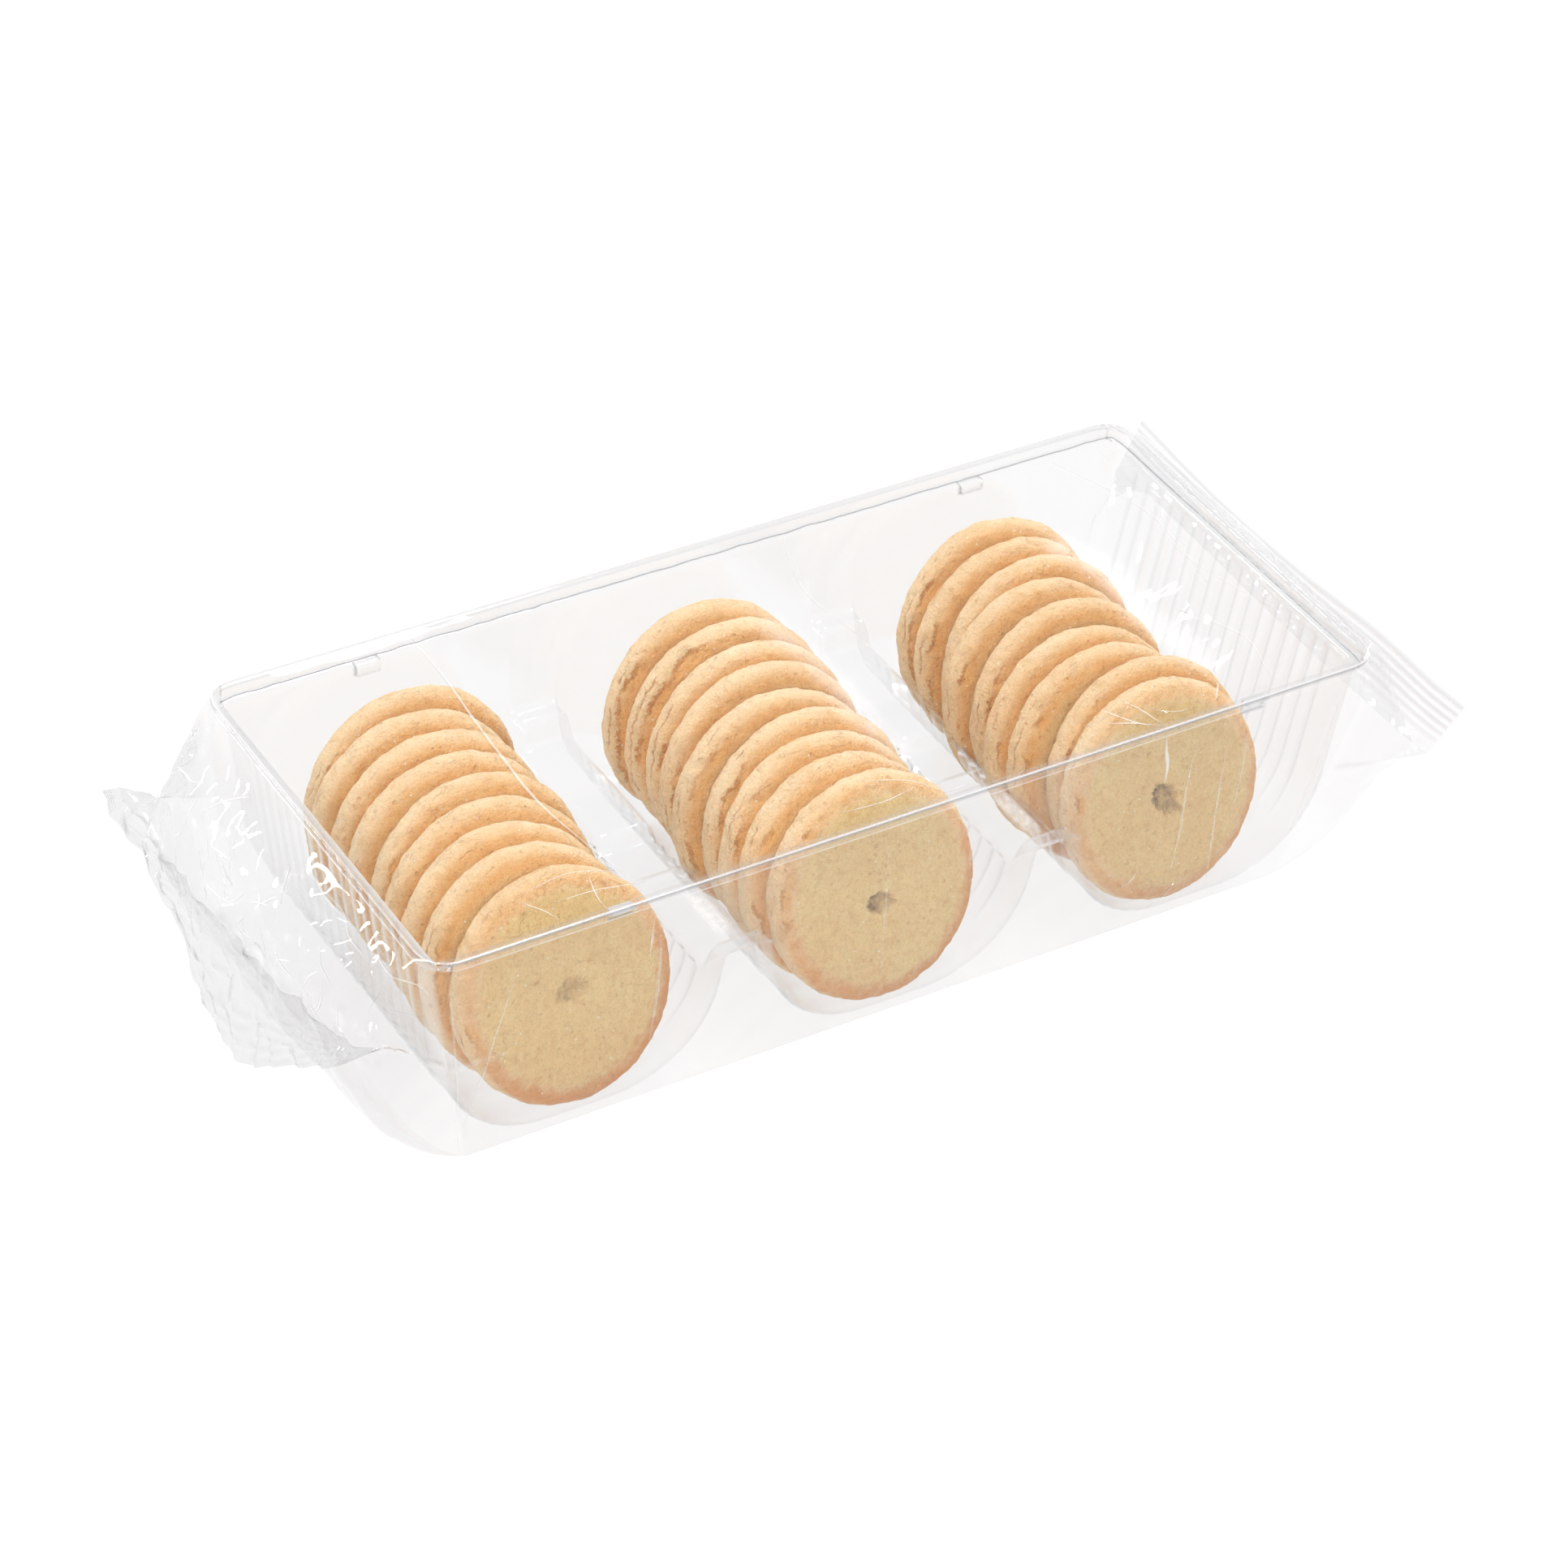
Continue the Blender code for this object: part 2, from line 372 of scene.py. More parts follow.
    # painted shade: cracks and pores are darkened toward a warm brown, as their shade
    colour = g.mix(g.math("MULTIPLY", crack_shade, 0.28, clamp=True), colour, g.mix(1.0, colour, (0.95, 0.76, 0.52, 1.0), "MULTIPLY"))
    colour = g.mix(0.20, colour, g.ramp(wrinkle, [(0.34, (0.90, 0.80, 0.66)), (0.48, (1, 1, 1))]), "MULTIPLY")
    colour = g.mix(g.math("MULTIPLY", lip, 0.40, clamp=True), colour, srgb(*LIP))
    # painted shade: the pit is darkened, patchily and more on one side
    shade_dark = g.math("MULTIPLY", pit_shade, g.ramp(g.noise(place, 420.0, 3.0, 0.6), [(0.34, (1, 1, 1)), (0.60, (0.30, 0.30, 0.30))]), clamp=True)
    colour = g.mix(shade_dark, colour, srgb(*PIT_SHADE))
    shade = g.ramp(grain, [(0.33, (0.84, 0.74, 0.58)), (0.47, (1, 1, 1)), (0.75, (1.0, 1.0, 1.0))])
    colour = g.mix(0.58, colour, shade, "MULTIPLY")
    speck = g.ramp(fine, [(0.36, (0.84, 0.78, 0.68)), (0.50, (1, 1, 1))])
    colour = g.mix(0.55, colour, speck, "MULTIPLY")
    tint = g.ramp(luck, [(0.0, (0.948, 0.918, 0.866)), (1.0, (1.0, 1.0, 1.0))])
    colour = g.mix(1.0, colour, tint, "MULTIPLY")
    cells = g.add("TexVoronoi", feature="F1")
    g.put(cells.inputs["Vector"], place)
    cells.inputs["Scale"].default_value = 560.0
    sugar = g.ramp(cells.outputs["Distance"], [(0.10, (1, 1, 1)), (0.18, (0, 0, 0))])
    picked = g.add("SeparateColor")
    g.put(picked.inputs[0], cells.outputs["Color"])
    sugar = g.math("MULTIPLY", sugar, g.math("GREATER_THAN", picked.outputs[0], 0.86))
    colour = g.mix(g.math("MULTIPLY", sugar, 0.8), colour, srgb(255, 248, 232))

    height = g.math("ADD", g.math("MULTIPLY", grain, 1.45), g.math("MULTIPLY", fine, 0.35))
    height = g.math("ADD", height, g.math("MULTIPLY", g.math("MULTIPLY", wrinkle, 1.2), g.math("SUBTRACT", 1.0, on_face)))
    height = g.math("SUBTRACT", height, g.math("MULTIPLY", thread, 0.4))
    height = g.math("SUBTRACT", height, g.math("MULTIPLY", pores, 0.6))
    height = g.math("ADD", height, g.math("MULTIPLY", patch, 1.0))
    height = g.math("SUBTRACT", height, g.math("MULTIPLY", lines, 0.5))
    height = g.math("ADD", height, g.math("MULTIPLY", mottle, 1.6))
    height = g.math("SUBTRACT", height, g.math("MULTIPLY", craze, 0.22))
    bump = g.add("Bump")
    bump.inputs["Strength"].default_value = 1.0
    bump.inputs["Distance"].default_value = 0.00075
    g.put(bump.inputs["Height"], height)

    shader = g.add("BsdfPrincipled")
    g.put(shader.inputs["Base Color"], colour)
    g.put(shader.inputs["Normal"], bump.outputs[0])
    shader.inputs["Roughness"].default_value = 0.72
    shader.inputs["Specular IOR Level"].default_value = 0.25
    shader.inputs["Subsurface Weight"].default_value = 0.18
    shader.inputs["Subsurface Radius"].default_value = (1.0, 0.45, 0.18)
    shader.inputs["Subsurface Scale"].default_value = 0.0016
    g.put(g.out.inputs[0], shader.outputs[0])
    return g.material


def clear_material(name, base, power, rim_tint, facing_tint, gloss_rough, bump_scale, bump_mm, slack_tint, bend_shade_tint):
    """A clear sheet: see-through, slightly darker where it is seen edge-on, with a clean reflection."""
    g = Graph(name)
    place = g.mapping((1, 1, 1))
    height = g.noise(place, bump_scale, 3.0, 0.5)
    bump = g.add("Bump")
    bump.inputs["Strength"].default_value = 1.0
    bump.inputs["Distance"].default_value = bump_mm * MM
    g.put(bump.inputs["Height"], height)
    layer = g.add("LayerWeight")
    layer.inputs["Blend"].default_value = 0.5
    g.put(layer.inputs["Normal"], bump.outputs[0])
    facing = layer.outputs["Facing"]
    shine = g.math("POWER", facing, power)
    fresnel = g.math("ADD", g.math("MULTIPLY", shine, 0.94), base, clamp=True)
    edge_on = g.math("POWER", facing, 2.6)
    # marks: red for a slack, hazier sheet, green for a bend painted as a thin grey shade line, blue for a painted white
    # highlight, alpha for painted shade on the upright sides of the wrap
    looks = g.add("Attribute", attribute_name="marks")
    parts = g.add("SeparateColor")
    g.put(parts.inputs[0], looks.outputs["Color"])
    plain = g.mix(parts.outputs[0], (*([facing_tint] * 3), 1.0), (*slack_tint, 1.0))
    # painted shade: the upright sides of the wrap are tinted darker
    plain = g.mix(g.math("MULTIPLY", looks.outputs["Alpha"], 0.6), plain, (0.948, 0.944, 0.940, 1.0))
    plain = g.mix(parts.outputs[1], plain, (*bend_shade_tint, 1.0))
    rim = g.mix(parts.outputs[0], (0.94, 0.94, 0.942, 1.0), (*rim_tint, 1.0))
    tint = g.mix(edge_on, plain, rim)
    clear = g.add("BsdfTransparent")
    g.put(clear.inputs[0], tint)
    gloss = g.add("BsdfGlossy")
    gloss.inputs["Color"].default_value = (1, 1, 1, 1)
    gloss.inputs["Roughness"].default_value = gloss_rough
    g.put(gloss.inputs["Normal"], bump.outputs[0])
    both = g.add("MixShader")
    g.put(both.inputs[0], fresnel)
    g.put(both.inputs[1], clear.outputs[0])
    g.put(both.inputs[2], gloss.outputs[0])
    # painted highlight: a lit white diffuse mixed in where the blue mark is set
    painted_white = g.add("BsdfDiffuse")
    painted_white.inputs["Color"].default_value = (0.84, 0.84, 0.84, 1)
    whole = g.add("MixShader")
    g.put(whole.inputs[0], parts.outputs[2])
    g.put(whole.inputs[1], both.outputs[0])
    g.put(whole.inputs[2], painted_white.outputs[0])
    g.put(g.out.inputs[0], whole.outputs[0])
    return g.material


# Colours of the dough as the material holds them; the groove, fissure, craze and pit colours are painted shade
EDGE_PALE, EDGE_WARM, GROOVE_SHADE = (255, 230, 192), (252, 217, 172), (248, 190, 120)
FACE_PALE, FACE_WARM, FACE_DULL = (255, 225, 164), (250, 213, 150), (232, 192, 128)
SPOT, TOAST, CRACK, PIT_SHADE = (232, 184, 120), (232, 147, 60), (252, 188, 104), (112, 62, 24)
FISSURE_SHADE, LIP, CRAZE_SHADE = (214, 132, 60), (255, 236, 194), (208, 160, 100)

# ----------------------------------------------------------------- cookies

COOKIE_RADIUS = 30.3
FLOOR_TOP = 1.4
# half section: (depth behind the near face, share of the radius)
SECTION = ((0.0, 0.93), (1.2, 0.965), (3.0, 0.988), (5.0, 1.0), (6.8, 0.995), (8.2, 0.96))

# Each row of nine: x, y of the near face's lowest point, lean of the top to the back
ROWS = {
    "L": (
        (-90.6, -93.4, -94.0, -92.7, -91.1, -92.5, -92.1, -92.9, -89.2),
        (-55.6, -43.5, -33.7, -21.9, -11.3, -0.3, 10.4, 20.4, 30.5),
        (22.9, 20.5, 20.3, 18.1, 17.0, 15.3, 13.9, 13.1, 12.5),
    ),
    "C": (
        (-1.5, -4.2, -4.3, -2.8, -5.5, -2.3, -1.1, -1.1, -2.3),
        (-56.0, -46.6, -36.6, -24.7, -13.1, -1.2, 8.2, 19.7, 31.0),
        (18.6, 18.6, 18.1, 15.6, 13.3, 13.3, 13.1, 12.0, 10.0),
    ),
    "R": (
        (87.5, 89.6, 83.6, 82.4, 86.0, 83.5, 89.2, 87.0, 88.1),
        (-56.0, -46.6, -37.2, -27.8, -15.3, -4.5, 4.8, 15.2, 26.0),
        (18.0, 18.0, 18.0, 18.0, 17.0, 16.5, 16.5, 15.4, 14.5),
    ),
}

# Pits in the three front faces: centre across and up, size, depth, darkness of the painted shade, turn
PITS = {
    "L1": (0.3, -0.2, 4.3, 1.0, 0.56, 0.1),
    "C1": (-0.7, -3.0, 4.0, 2.2, 1.0, 0.0),
    "R1": (-1.2, -1.0, 5.0, 2.6, 1.0, -0.9),
}

# Broken edges of each row's cookies: depth of the line behind the near face, how
# deep it is and how rare, for the ledge and for the finer fissures behind it
CRACKS = {
    "L": ((2.1, 0.6, 0.20), (4.5, 0.34, 0.20)),
    "C": ((2.0, 1.05, -0.15), (4.4, 0.45, 0.0)),
    "R": ((2.0, 0.75, 0.05), (4.4, 0.40, 0.10)),
}


def section_rows(front, back):
    """(depth, radius share) down the cookie's half section, from the near middle to the far middle."""
    knots = [0.0, 0.08, 0.2, 0.42, 0.66, 0.84, 1.0, 1.12, 1.24]
    depth = [0.35, 0.72, 1.5, 3.0, 5.0, 6.9, 8.2, 8.55, 8.7]
    share = [0.815, 0.866, 0.925, 0.977, 1.0, 0.993, 0.955, 0.90, 0.82]
    n = 46 if front else 38
    at = np.linspace(0, 1.24, n)
    edge = np.stack([spline(knots, depth, at), spline(knots, share, at)], axis=1)
    near_count = 44 if front else 5
    far_count = 24 if back else 4
    near = np.linspace(0.004, 0.815, near_count + 1)[:-1]
    far = np.linspace(0.82, 0.004, far_count + 1)[1:]
    rows = [(0.35 * max(0.0, (r - 0.52) / 0.295) ** 2.2, r) for r in near] + [tuple(e) for e in edge]
    rows += [(8.7 + 0.12 * (1 - (r / 0.82) ** 2), r) for r in far]
    return np.array(rows)


def make_cookie(name, x, y, lean, seed, front, back, material):
    rng = np.random.RandomState(seed)
    noise, other = Noise(seed), Noise(seed + 500)
    rows = section_rows(front, back)
    cols = 300 if front else 200
    angle = np.arange(cols) * 2 * math.pi / cols
    depth, share = rows[:, 0][:, None], rows[:, 1][:, None]
    ring = np.stack([np.cos(angle), np.sin(angle), np.zeros(cols)], axis=1)
    # outline: not a perfect circle
    wobble = 0.0075 * noise(ring * 1.3 + 3.0) + 0.004 * noise(ring * 4.0 + 8.0)
    squash = 1.0 + 0.006 * np.cos(2 * (angle - rng.rand() * math.pi))
    radius = COOKIE_RADIUS * share * (1 + wobble[None, :] * np.clip(share, 0, 1) ** 3) * (1 + (squash[None, :] - 1) * share)
    depth = np.repeat(depth, cols, axis=1) + 0 * radius
    on_edge = smooth(0.81, 0.91, np.repeat(share, cols, axis=1))
    flat = np.stack([radius * np.cos(angle), radius * np.sin(angle), depth], axis=2).reshape(-1, 3)

    # a broken ledge along the edge, sunk from there to the near face, and finer fissures behind it
    edge_share = on_edge.ravel()
    crack_shade = np.zeros(len(flat))
    sink = np.zeros(len(flat))
    fields = []
    turn_to = math.radians(172 + 30 * (rng.rand() - 0.5))
    ang3 = np.repeat(ring[None], len(rows), axis=0).reshape(-1, 3)
    d = flat[:, 2].copy()
    off = np.abs((np.tile(angle, len(rows)) - turn_to + math.pi) % (2 * math.pi) - math.pi)
    flank = smooth(1.35, 0.35, off)
    worn = float(np.interp(int(name[8]), (1, 5, 9), (0.0, 0.35, 1.0)))    # the far cookies are broken the most
    for index, (line, deep, cut) in enumerate(CRACKS[name[7]]):
        line, deep, cut = line + 0.5 * worn * (index == 0), deep * (0.7 + 0.4 * worn), cut - 0.25 * worn
        centre = line + 0.75 * noise(ang3 * 3.3 + 20 + 7 * index) + 0.55 * other(ang3 * 7.0 + 5 * index) + 0.42 * noise(ang3 * 15.0) + 0.22 * other(ang3 * 31.0)
        much = smooth(cut, cut + 0.55, 1.1 * noise(ang3 * 2.9 + 40 + 11 * index) + 0.5 * other(ang3 * 8.0 + index) - 1.1 * (1 - flank) + 0.1)
        gap = centre - d
        shape = smooth(-0.05, 0.30, gap) if index == 0 else smooth(-0.05, 0.20, gap) * smooth(0.75, 0.30, gap)
        here = much * shape * smooth(0.35, 1.3, d) * edge_share
        sink += deep * here
        crack_shade = np.maximum(crack_shade, here * min(1.0, 0.62 * deep))
        fields += [np.clip(gap, -4, 4), much * edge_share]
        if index == 0:
            # the crust swells a little behind the ledge
            sink -= 0.22 * deep * much * smooth(-1.6, -0.2, gap) * smooth(0.0, -0.1, gap) * edge_share
    # short pits and crumbs on the crest
    rough = 0.22 * noise(flat / 2.6) + 0.15 * other(flat / 1.4)
    rough += 0.30 * noise(np.stack([flat[:, 0], flat[:, 1], flat[:, 2] * 1.6], axis=1) / 6.5)
    pore = smooth(0.36, 0.62, other(flat / 1.9 + 50.0)) * (0.5 + 0.5 * flank)
    rough = rough * on_edge.ravel() + (0.10 * noise(flat / 5.0) + 0.05 * other(flat / 2.2)) * (1 - on_edge.ravel())

    out = np.stack([np.cos(angle), np.sin(angle)], axis=1)
    out = np.repeat(out[None], len(rows), axis=0).reshape(-1, 2)
    radial = (rough - sink - 0.35 * pore * on_edge.ravel()) * on_edge.ravel()
    flat[:, :2] += out * radial[:, None]
    near = smooth(2.2, 0.6, d)
    fields = np.stack(fields, axis=1)
    push = (1 - on_edge.ravel()) * rough + 0.25 * on_edge.ravel() * rough
    flat[:, 2] += np.where(d < 4.0, -push, push)

    # pit in the middle of the near face, darkened as painted shade, more on its one side
    pit_shade = np.zeros(len(flat))
    cx, cy, size, deep, shade_dark, turn = PITS.get(name[-2:], (0.4 * rng.randn(), 0.8 * rng.randn(), 2.6, 1.3, 0.7, rng.rand() * 3))
    face = (d < 0.9) & (np.repeat(share, cols, axis=1).ravel() < 0.8)
    px, py = flat[:, 0] - cx, flat[:, 1] - cy
    c, s = math.cos(turn), math.sin(turn)
    qx, qy = (px * c + py * s) / 1.25, (-px * s + py * c) / 0.85
    away = np.hypot(qx, qy)
    bearing = np.stack([qx, qy, np.zeros_like(qx)], axis=1) / np.maximum(away, 0.1)[:, None]
    limit = size * (0.9 + 0.30 * noise(bearing * 2.3 + 60) + 0.12 * other(bearing * 6.0))
    inside = smooth(1.0, 0.62, away / limit) * face
    flat[:, 2] += deep * inside * (0.8 + 0.35 * other(flat / 1.1))
    pit_shade = shade_dark * inside * (0.50 + 0.50 * smooth(0.35, -0.35, qx / size)) * smooth(-0.6, 0.1, noise(flat / 1.6 + 90.0) + 0.35)

    # browning: the near face's rim, more at its lower right, and the far edge
    across = np.repeat(share, cols, axis=1).ravel()
    lower = smooth(0.5, -0.8, np.tile(np.sin(angle), len(rows)) - 0.45 * np.tile(np.cos(angle), len(rows)))
    rim = smooth(0.73, 0.92, across + 0.035 * noise(flat / 4.0) + 0.02 * other(flat / 1.5))
    rim = rim * smooth(2.4 + 3.2 * lower, 0.6 + 2.2 * lower, d)
    brown = rim * (0.42 + 0.50 * lower) * {"L1": 0.94, "C1": 0.84, "R1": 0.66}.get(name[-2:], 0.9)
    brown = np.maximum(brown, 0.55 * smooth(6.4, 8.4, d) * (0.7 + 0.5 * noise(flat / 7.0)))
    brown = np.maximum(brown, 0.15 * smooth(3.0, 1.0, d) * on_edge.ravel())
    # painted shade: mark for the orange groove colour on the near part of the edge
    groove_shade = smooth(4.4, 1.2, d) * on_edge.ravel()
    face_share = near * (1 - smooth(0.77, 0.92, across))
    # channels: painted crack shade, browning, painted pit shade, share of the near face
    channels = np.stack([np.clip(crack_shade + 0.25 * pore * on_edge.ravel(), 0, 1), np.clip(brown, 0, 1), np.clip(pit_shade, 0, 1), face_share], axis=1)
    extra = fields
    # painted shade: the near faces of the cookies behind, in the next cookie's shade, are marked for the groove colour
    hidden_face_shade = 0.0 if front else 0.8
    ring_face = smooth(0.72, 0.88, np.repeat(share, cols, axis=1).ravel()) * near
    # the nearest left cookie and the right row are baked a little darker
    luck = {"L": 0.50, "C": 0.78, "R": 0.16}[name[7]] + 0.22 * rng.rand()
    luck = {"L1": 0.20, "R1": 0.55}.get(name[-2:], luck)
    tone = np.stack([groove_shade, np.full(len(flat), luck), hidden_face_shade * ring_face, np.ones(len(flat))], axis=1)

    local = np.concatenate([flat + (0.0, 0.0, 40.0 * rng.rand()), np.ones((len(flat), 1))], axis=1)

    # into place: local x across, y up, z away from the near face
    t = math.radians(lean)
    zc = FLOOR_TOP + max(r * COOKIE_RADIUS * math.cos(t) + k * math.sin(t) for k, r in SECTION)
    yc = y + 0.93 * COOKIE_RADIUS * math.sin(t)
    u, w, k = flat[:, 0], flat[:, 1], flat[:, 2]
    points = np.stack([x + u, yc + w * math.sin(t) + k * math.cos(t), zc + w * math.cos(t) - k * math.sin(t)], axis=1)

    faces = grid_faces(len(rows), cols, wrap_cols=True)
    count = len(points)
    points = np.vstack([points, points[:cols].mean(axis=0), points[-cols:].mean(axis=0)])
    channels = np.vstack([channels, channels[0], channels[-1]])
    extra = np.vstack([extra, extra[0], extra[-1]])
    tone = np.vstack([tone, tone[0], tone[-1]])
    local = np.vstack([local, local[:cols].mean(axis=0), local[-cols:].mean(axis=0)])
    j = np.arange(cols)
    first = np.stack([np.full(cols, count), (j + 1) % cols, j], axis=1)
    start = (len(rows) - 1) * cols
    last = np.stack([np.full(cols, count + 1), start + j, start + (j + 1) % cols], axis=1)
    faces = [tuple(f) for f in faces.tolist()] + [tuple(f) for f in first.tolist()] + [tuple(f) for f in last.tolist()]
    return make_object(name, points, faces, material, {"looks": channels, "cracks": extra, "tone": tone, "local": local})


# -------------------------------------------------------------------- tray

RIM_TOP = 69.0
LEDGE = 65.4
TRAY_HALF = (140.0, 61.03)
RIM_CORNER = 9.5
TROUGHS = (-92.5, 0.0, 92.5)
TRAY_FLOOR = 1.1
ARC = 29.0                 # radius between the trough's floor and its sides
FLOOR_HALF = 9.2
SLOPE = math.radians(8.3)
PAD_TOP = 29.0             # tops of the dividers
PAD_NOTCH = 25.4
RAMP_TOP = 36.0
FLUTE_PITCH, FLUTES_END, FLUTE_DEEP = 5.6, 45.0, 0.75
LUGS = ((-94.7, 1, 64.6), (89.1, 1, 65.0), (-85.2, -1, 64.2), (102.6, -1, 63.4))

# the rim's rings from the ledge out: reach beyond the ledge's own edge, height
RINGS = (
    (0.0, 65.4), (1.3, 65.4), (1.62, 65.55), (1.75, 65.9), (1.9, 67.2), (2.0, 68.4),
    (2.12, 68.8), (2.4, 69.0), (3.2, 69.0), (3.65, 69.0), (3.9, 69.0), (4.15, 68.92), (4.28, 68.7), (4.36, 68.2), (4.42, 67.2),
)


def half_width(z):
    """Half the trough's width at a height above the arc."""
    top_of_arc = TRAY_FLOOR + ARC - ARC * math.sin(SLOPE)
    return FLOOR_HALF + ARC * math.cos(SLOPE) + (z - top_of_arc) * math.tan(SLOPE)


def pad_height(y):
    """Height of the dividers along y."""
    a = np.abs(y)
    notch = smooth(-12.5, -9.0, y) * smooth(7.5, 4.0, y)
    return PAD_TOP - (PAD_TOP - PAD_NOTCH) * notch + (RAMP_TOP - PAD_TOP) * smooth(47.5, 50.0, a)


def make_tray(material):
    top_of_arc = TRAY_FLOOR + ARC - ARC * math.sin(SLOPE)
    half_x, half_y = 135.6, 56.65    # the ledge's inner edge

    # stations along x: (kind, trough, side, parameter)
    stations = []
    for k in range(len(RINGS) - 1, -1, -1):
        stations.append(("ring", -1, k))
    for t, _ in enumerate(TROUGHS):
        left_top = "end" if t == 0 else "pad"
        right_top = "end" if t == 2 else "pad"
        for side, top in ((-1, left_top), (1, right_top)):
            run = []
            if top == "end":
                run += [("wall", t, side, f, 1.0) for f in (0.985, 0.965, 0.94, 0.91, 0.87, 0.8, 0.7, 0.58, 0.45, 0.3, 0.15)]
            else:
                run += [("pad", t, side, f, 0.0) for f in ((1.0, 0.75, 0.5, 0.25) if side > 0 else (0.75, 0.5, 0.25))]
                run += [("round", t, side, a, 0.0) for a in (0.0, 22.5, 45.0, 67.5)]
                run += [("wall", t, side, f, 0.0) for f in (1.0, 0.5)]
            run += [("arc", t, side, a, 0.0) for a in np.linspace(0, 1, 11)]
            run += [("floor", t, side, f, 0.0) for f in (0.86, 0.72, 0.58, 0.44, 0.30, 0.16)]
            if side < 0:
                stations += run + [("floor", t, side, 0.0, 0.0)]
            else:
                stations += run[::-1]
    for k in range(len(RINGS)):
        stations.append(("ring", 1, k))

    # stations along y: outer rings, wall, fillet, then the fluted run
    wall = [(0.012, 57.55), (0.03, 57.5), (0.06, 57.45), (0.085, 57.42), (0.10, 57.40), (0.13, 57.36), (0.2, 57.26), (0.35, 57.08), (0.5, 56.9),
            (0.65, 56.72), (0.78, 56.55), (0.87, 56.42), (0.925, 56.2), (0.962, 55.75), (0.985, 55.0), (0.997, 54.2)]
    ys, share, ring = [], [], []
    for k in range(len(RINGS) - 1, -1, -1):
        ys.append(-(half_y + 0.95 + RINGS[k][0])); share.append(0.0); ring.append(k)
    for w, y in wall:
        ys.append(-y); share.append(w); ring.append(-1)
    inner = np.concatenate([[-53.2, -52.2, -51.2, -50.2, -49.2, -48.4, -47.6, -46.8, -45.9], np.linspace(-45, 45, 129), [45.9, 46.8, 47.6, 48.4, 49.2, 50.2, 51.2, 52.2, 53.2]])
    for y in inner:
        ys.append(y); share.append(1.0); ring.append(-1)
    for w, y in wall[::-1]:
        ys.append(y); share.append(w); ring.append(-1)
    for k in range(len(RINGS)):
        ys.append(half_y + 0.95 + RINGS[k][0]); share.append(0.0); ring.append(k)
    ys, share, ring = np.array(ys), np.array(share), np.array(ring)

    height = pad_height(ys)
    # rounded flutes with a crease between each two
    wave = np.abs(np.sin(math.pi * (ys + FLUTES_END) / FLUTE_PITCH))
    wave = np.sqrt(wave**2 + 0.02) * smooth(FLUTES_END + 0.5, FLUTES_END - 2.0, np.abs(ys))

    # painted shade: thin grey lines where the sheet bends sharply, at the rim's edges and the creases between flutes
    bend_shade_lines = {2: 1.0, 3: 0.10, 6: 0.16, 11: 0.42, 12: 0.20}
    # painted highlight: white beads along the rim's top edge
    highlight_beads = {9: 0.05, 10: 0.30}
    crease = smooth(0.34, 0.06, np.abs(np.sin(math.pi * (ys + FLUTES_END) / FLUTE_PITCH))) * (np.abs(ys) < FLUTES_END + 0.3)
    marks, painted_highlight = [], []
    rows = []
    for station in stations:
        if station[0] == "ring":
            _, side, k = station
            across = np.array([bend_shade_lines.get(max(k, r), 0.0) if r >= 0 else bend_shade_lines.get(k, 0.0) for r in ring])
            marks.append(across)
            painted_highlight.append(np.array([highlight_beads.get(max(k, r), 0.0) if r >= 0 else highlight_beads.get(k, 0.0) for r in ring]))
            reach, z_ring = RINGS[k]
            x = np.full(len(ys), side * (half_x + reach))
            z = np.where(ring >= 0, np.array([RINGS[max(k, r)][1] for r in ring]), z_ring)
            rows.append((x, z))
            continue
        kind, t, side, f, end = station
        centre = TROUGHS[t]
        top = LEDGE if end else height
        if kind == "floor":
            dx = np.full(len(ys), FLOOR_HALF * f)
            z = np.full(len(ys), TRAY_FLOOR)
            flute = np.zeros(len(ys)); normal = (0.0, 1.0)
        elif kind == "arc":
            turn = SLOPE + (math.pi / 2 - SLOPE) * f
            dx = np.full(len(ys), FLOOR_HALF + ARC * math.cos(turn))
            z = np.full(len(ys), TRAY_FLOOR + ARC - ARC * math.sin(turn))
            flute = smooth(0.5, 0.05, f) * wave; normal = (math.cos(turn), -math.sin(turn))
        elif kind == "wall":
            is_end = side * TROUGHS[t] > 1.0 and t != 1
            reach_up = np.full(len(ys), LEDGE) if is_end else height - 2.4
            z = top_of_arc + (reach_up - top_of_arc) * f
            dx = np.array([half_width(v) for v in z])
            fade = smooth(0.97, 0.90, f) if is_end else smooth(1.05, 0.6, f)
            # rounded tops: the flute's middle reaches higher than its sides
            if is_end:
                fade = smooth(0.955 + 0.03 * wave, 0.905 + 0.03 * wave, np.full(len(ys), f))
            flute = fade * wave; normal = (math.cos(SLOPE), -math.sin(SLOPE))
        elif kind == "round":
            turn = math.radians(f)
            base = np.array([half_width(v) for v in height - 2.4])
            dx = base + 2.4 * (1 - math.sin(turn))
            z = height - 2.4 + 2.4 * math.cos(turn)
            flute = np.zeros(len(ys)); normal = (0.0, 1.0)
        else:  # pad, measured from the edge of the flat to the divider's middle
            base = np.array([half_width(v) for v in height - 2.4]) + 2.4
            middle = 46.25
            dx = base + (middle - base) * f
            z = height + 0.0
            flute = np.zeros(len(ys)); normal = (0.0, 1.0)
        edge = np.array([bend_shade_lines.get(r, 0.0) if r >= 0 else 0.0 for r in ring])
        strength = flute / np.maximum(wave, 1e-6) if kind in ("wall", "arc") else np.zeros(len(ys))
        shown = 0.26 if side * TROUGHS[t] < 1.0 else 0.20
        # painted shade: grey lines along the creases between flutes
        marks.append(np.maximum(edge, shown * crease * np.clip(strength, 0, 1)))
        painted_glint = np.array([highlight_beads.get(r, 0.0) if r >= 0 else 0.0 for r in ring])
        if kind == "pad":
